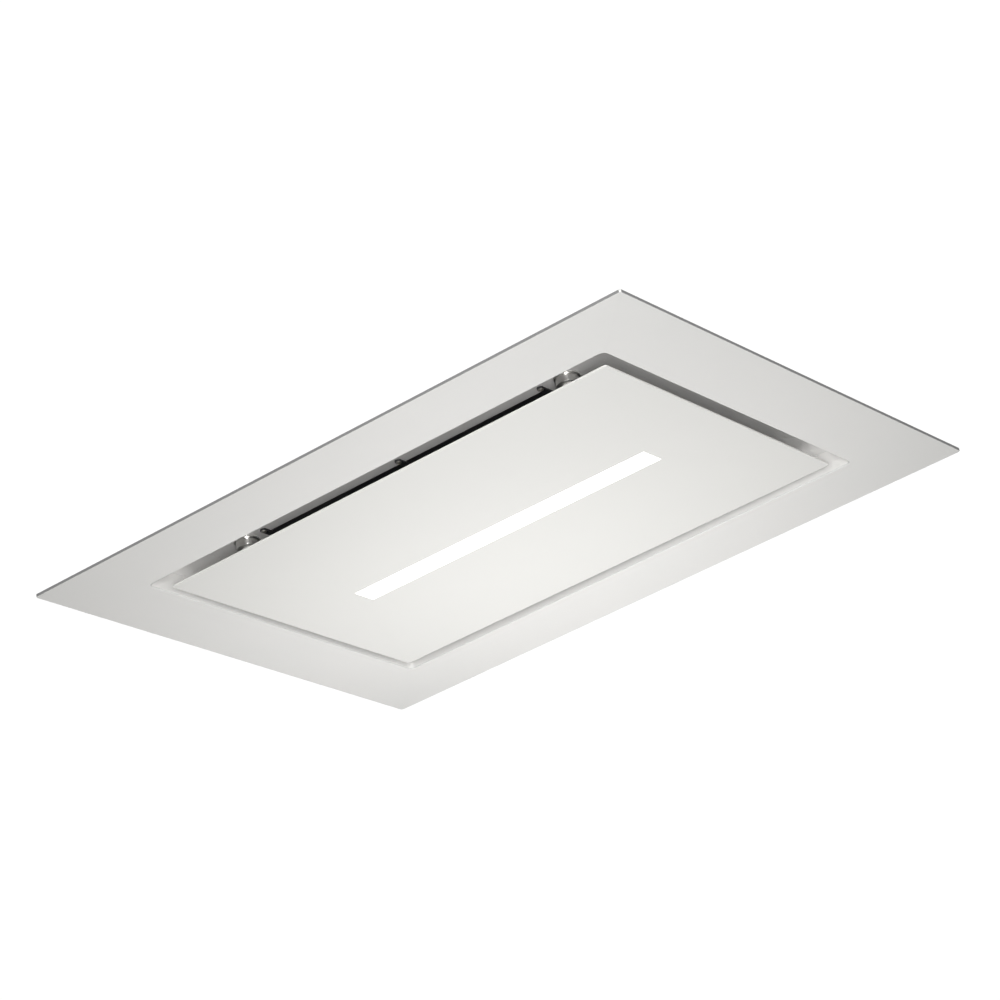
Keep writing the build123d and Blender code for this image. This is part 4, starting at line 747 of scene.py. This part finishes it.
# Powder coat: the orange-peel skin of stoved powder, and its slow drift in tone.
powder_skin, given, result = effect_group("powder_skin", {"Peel Size": 0.0016}, ("Height", "Shade"))
where = powder_skin.nodes.new("ShaderNodeTexCoord")
frequency = number_node(powder_skin, "DIVIDE", 1.0, given.outputs["Peel Size"])
peel = noise_node(powder_skin, where.outputs["Object"], frequency, 1.5, 0.45)
fine = noise_node(powder_skin, where.outputs["Object"],
                  number_node(powder_skin, "MULTIPLY", frequency, 3.7), 2.0)
pores = number_node(powder_skin, "MULTIPLY", fine, 0.35)
powder_skin.links.new(number_node(powder_skin, "ADD", peel, pores), result.inputs["Height"])
slow = noise_node(powder_skin, where.outputs["Object"], 5.0, 2.0)
powder_skin.links.new(spread(powder_skin, slow, 0.3, 0.7), result.inputs["Shade"])


def powder_coat(name, colour, drift, roughness, peel=0.0016, depth=0.00005):
    """Stoved powder on sheet steel: orange peel and a slow drift in tone."""
    material, shader = new_finish(name, colour, roughness)
    texture = add_effect(material, powder_skin, peel_size=peel)
    layer(material, shader, "Base Color", texture["Shade"], drift)
    layer(material, shader, "Roughness", texture["Shade"], roughness + 0.06)
    emboss(material, shader, texture["Height"], depth)
    return material, shader


grey_coat, shader = powder_coat("grey_coat", tray_grey, (0.70, 0.69, 0.675), 0.34)
layer(grey_coat, shader, "Base Color", add_effect(grey_coat, worn_edge, width=0.0008)["Mask"],
      (0.80, 0.80, 0.80))
dress(grey_coat, "recess_tray")
skirt_coat, shader = powder_coat("skirt_coat", skirt_white, (0.82, 0.81, 0.79), 0.40)
dress(skirt_coat, "casing_skirt")

# ---------------------------------------------------------------------------
# Grease filters: black painted frames that each hold two layers of blackened
# expanded mesh and lift out when the turn clips are undone.
# ---------------------------------------------------------------------------
filter_black, shader = powder_coat("filter_black", (0.016, 0.016, 0.017), (0.022, 0.022, 0.023), 0.42)
layer(filter_black, shader, "Base Color", add_effect(filter_black, worn_edge, width=0.0006)["Mask"],
      (0.05, 0.05, 0.05))
dress(filter_black, "filter_frame_left", "filter_frame_right")
diamond_long, diamond_short = 0.0080, 0.0048
strand_wide, strand_thick = 0.0011, 0.0004
layer_gap = 0.0016

mesh_tree, given, result = piece_tree("expanded_mesh", {
    "Long": ("NodeSocketFloat", diamond_long),
    "Short": ("NodeSocketFloat", diamond_short),
    "Strand Width": ("NodeSocketFloat", strand_wide),
    "Strand Thickness": ("NodeSocketFloat", strand_thick),
    "Material": ("NodeSocketMaterial", None),
})
nodes, links = mesh_tree.nodes, mesh_tree.links
long_side, short_side = given.outputs["Long"], given.outputs["Short"]
slant = number_node(mesh_tree, "ARCTAN2", short_side, long_side)
reach = number_node(mesh_tree, "SQRT", number_node(
    mesh_tree, "ADD", number_node(mesh_tree, "MULTIPLY", long_side, long_side),
    number_node(mesh_tree, "MULTIPLY", short_side, short_side)))
strand_tilt = 0.55
crossing = nodes.new("GeometryNodeJoinGeometry")
for side in (1.0, -1.0):
    strand = nodes.new("GeometryNodeMeshCube")
    links.new(xyz(mesh_tree, reach, given.outputs["Strand Width"], given.outputs["Strand Thickness"]),
              strand.inputs["Size"])
    tilted = nodes.new("GeometryNodeTransform")
    links.new(strand.outputs["Mesh"], tilted.inputs["Geometry"])
    tilt = nodes.new("FunctionNodeEulerToRotation")
    links.new(xyz(mesh_tree, side * strand_tilt, 0.0, number_node(mesh_tree, "MULTIPLY", slant, side)),
              tilt.inputs["Euler"])
    links.new(tilt.outputs[0], tilted.inputs["Rotation"])
    links.new(tilted.outputs[0], crossing.inputs[0])
put_instances(mesh_tree, given, result, crossing.outputs[0])

mesh_black, shader = new_finish("mesh_black", (0.020, 0.020, 0.021), 0.36, 0.55)
grease = add_effect(mesh_black, moulded_grain, grain_size=0.003)
layer(mesh_black, shader, "Roughness", grease["Shade"], 0.55)
layer(mesh_black, shader, "Base Color", grease["Shade"], (0.032, 0.031, 0.030))
for side in ("left", "right"):
    low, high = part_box(f"filter_mesh_{side}")
    middle_level = (low.z + high.z) / 2
    columns = int((high.x - low.x) / diamond_long) - 1
    lines = int((high.y - low.y) / diamond_short) - 1
    left = (low.x + high.x - (columns - 1) * diamond_long) / 2
    front = (low.y + high.y - (lines - 1) * diamond_short) / 2
    places = []
    for sheet, level in enumerate((middle_level - layer_gap / 2, middle_level + layer_gap / 2)):
        shift = sheet * diamond_long / 3
        places += [
            (left + column * diamond_long + shift, front + line * diamond_short, level)
            for column in range(columns - sheet)
            for line in range(lines)
        ]
    points = aimed_points(f"filter_mesh_{side}_points", places, [(0.0, 0.0, 1.0)] * len(places))
    bake(f"expanded_mesh_{side}", points, mesh_tree, "hood", replaced=(f"filter_mesh_{side}",),
         slot_name="black_filter_paint", material=mesh_black)

# ---------------------------------------------------------------------------
# Filter clips: three small stamped steel turn clips, each under a pan-head
# screw; a quarter turn frees the filter's edge.
# ---------------------------------------------------------------------------
clip_steel, shader = new_finish("clip_steel", (0.10, 0.10, 0.105), 0.36, 0.85)
layer(clip_steel, shader, "Base Color", add_effect(clip_steel, worn_edge, width=0.0005)["Mask"],
      (0.34, 0.34, 0.34))
stamping = add_effect(clip_steel, moulded_grain, grain_size=0.001)
layer(clip_steel, shader, "Roughness", stamping["Shade"], 0.5)
dress(clip_steel, "filter_clip_left", "filter_clip_middle", "filter_clip_right")
fit_screws("clip_screw_set", "clip_screws", 0.0039, 0.0022, 0.0017, 0.008)

# ---------------------------------------------------------------------------
# Touch catches: satin-chromed cups on the tray, each with a plunger on a wire
# spring that meets the panel's striker.
# ---------------------------------------------------------------------------
satin_chrome, shader = new_finish("satin_chrome", (0.80, 0.79, 0.77), 0.26, 1.0)
buffing = add_effect(satin_chrome, moulded_grain, grain_size=0.001)
layer(satin_chrome, shader, "Roughness", buffing["Shade"], 0.36)
dress(satin_chrome, "catch_body_left", "catch_body_right")
plunger_white = moulded("plunger_white", (0.66, 0.66, 0.64), (0.60, 0.60, 0.58), 0.4)
dress(plunger_white, "catch_plunger_left", "catch_plunger_right")
dress(ground_steel, "catch_spring_left", "catch_spring_right", "strikers")

# ---------------------------------------------------------------------------
# Hinges: folded steel arms on the tray and leaves on the panel, joined by two
# pins near the far edge, about which the panel swings down.
# ---------------------------------------------------------------------------
dress(bracket_zinc, "hinge_arm_left", "hinge_arm_right", "hinge_leaves")
dress(ground_steel, "hinge_pins")

# ---------------------------------------------------------------------------
# Suction panel: a flat white face sheet with rounded corners over a shallow pan
# set back from its edge, closed by an aluminium back plate with two ribs inside.
# ---------------------------------------------------------------------------
white_paint = (0.84, 0.834, 0.805)
panel_coat, shader = powder_coat("panel_coat", white_paint, (0.825, 0.818, 0.792), 0.36)
shader.inputs["Coat Weight"].default_value = 0.15
shader.inputs["Coat Roughness"].default_value = 0.25
dress(panel_coat, "panel_skin")
back_aluminium = rolled_aluminium("back_aluminium", (0.56, 0.57, 0.58), (0.50, 0.51, 0.52), 0.48, 0.60,
                                  grain=45.0, stretch=(0.6, 40.0, 1.0))
dress(back_aluminium, "panel_back", "panel_ribs")

# ---------------------------------------------------------------------------
# Light strip: an opal diffuser set in the panel, over an aluminium channel
# with a strip of light-emitting diodes on a narrow board.
# ---------------------------------------------------------------------------
diffuser_glow = 1.4
opal, shader = new_finish("opal_glow", (0.92, 0.92, 0.91), 0.30)
shader.inputs["Emission Color"].default_value = (1.0, 0.995, 0.98, 1.0)
shader.inputs["Emission Strength"].default_value = diffuser_glow
cloud = add_effect(opal, moulded_grain, grain_size=0.0007)
emboss(opal, shader, cloud["Height"], 0.00002)
layer(opal, shader, "Roughness", cloud["Shade"], 0.38)
dress(opal, "led_diffuser")
dress(flap_metal, "led_channel")
dress(pale_plastic, "led_board")

# ---------------------------------------------------------------------------
# Fascia frame: four folded steel strips mitred at the corners and painted white,
# with a four-millimetre rim and a lip round the opening, held up by ten magnets.
# ---------------------------------------------------------------------------
# Painted shade: the dark grey laid on the rim's outer faces.
rim_painted_shade = (0.25, 0.25, 0.25)
rim_reach = 0.0003
# Painted shade: the grey laid on the bends, and how strongly it is laid on.
bend_painted_shade = (0.46, 0.46, 0.45)
bend_shade_strength = 3.2
frame_coat, shader = powder_coat("frame_coat", (0.82, 0.81, 0.79), (0.80, 0.795, 0.775), 0.46)
shader.inputs["Coat Weight"].default_value = 0.08
shader.inputs["Coat Roughness"].default_value = 0.25
# Painted shade: the rim's outer faces are coloured dark grey to stand in for the shade along the frame's
# outer edge.
tree = frame_coat.node_tree
where = tree.nodes.new("ShaderNodeTexCoord")
axes = tree.nodes.new("ShaderNodeSeparateXYZ")
tree.links.new(where.outputs["Object"], axes.inputs[0])
beyond = [
    number_node(tree, "GREATER_THAN", number_node(tree, "ABSOLUTE", axes.outputs[label]), edge - rim_reach)
    for label, edge in (("X", fascia_high.x), ("Y", fascia_high.y))
]
rim_shade_mask = number_node(tree, "MAXIMUM", *beyond)
layer(frame_coat, shader, "Base Color", rim_shade_mask, rim_painted_shade)
# Painted shade: the rounded bends between the flat faces and the walls are coloured grey, to dim the
# highlight that the lamps put on them.
facing = tree.nodes.new("ShaderNodeNewGeometry")
slope = tree.nodes.new("ShaderNodeSeparateXYZ")
tree.links.new(facing.outputs["Normal"], slope.inputs[0])
level = number_node(tree, "MULTIPLY", slope.outputs["Z"], slope.outputs["Z"])
bend = number_node(tree, "MULTIPLY", level, number_node(tree, "SUBTRACT", 1.0, level))
bend_shade_mask = number_node(tree, "MULTIPLY", bend, bend_shade_strength)
layer(frame_coat, shader, "Base Color", bend_shade_mask, bend_painted_shade)
dress(frame_coat, "fascia_frame")
magnet_dark = moulded("magnet_dark", (0.030, 0.030, 0.032), (0.045, 0.045, 0.046), 0.55)
dress(magnet_dark, "fascia_magnets")
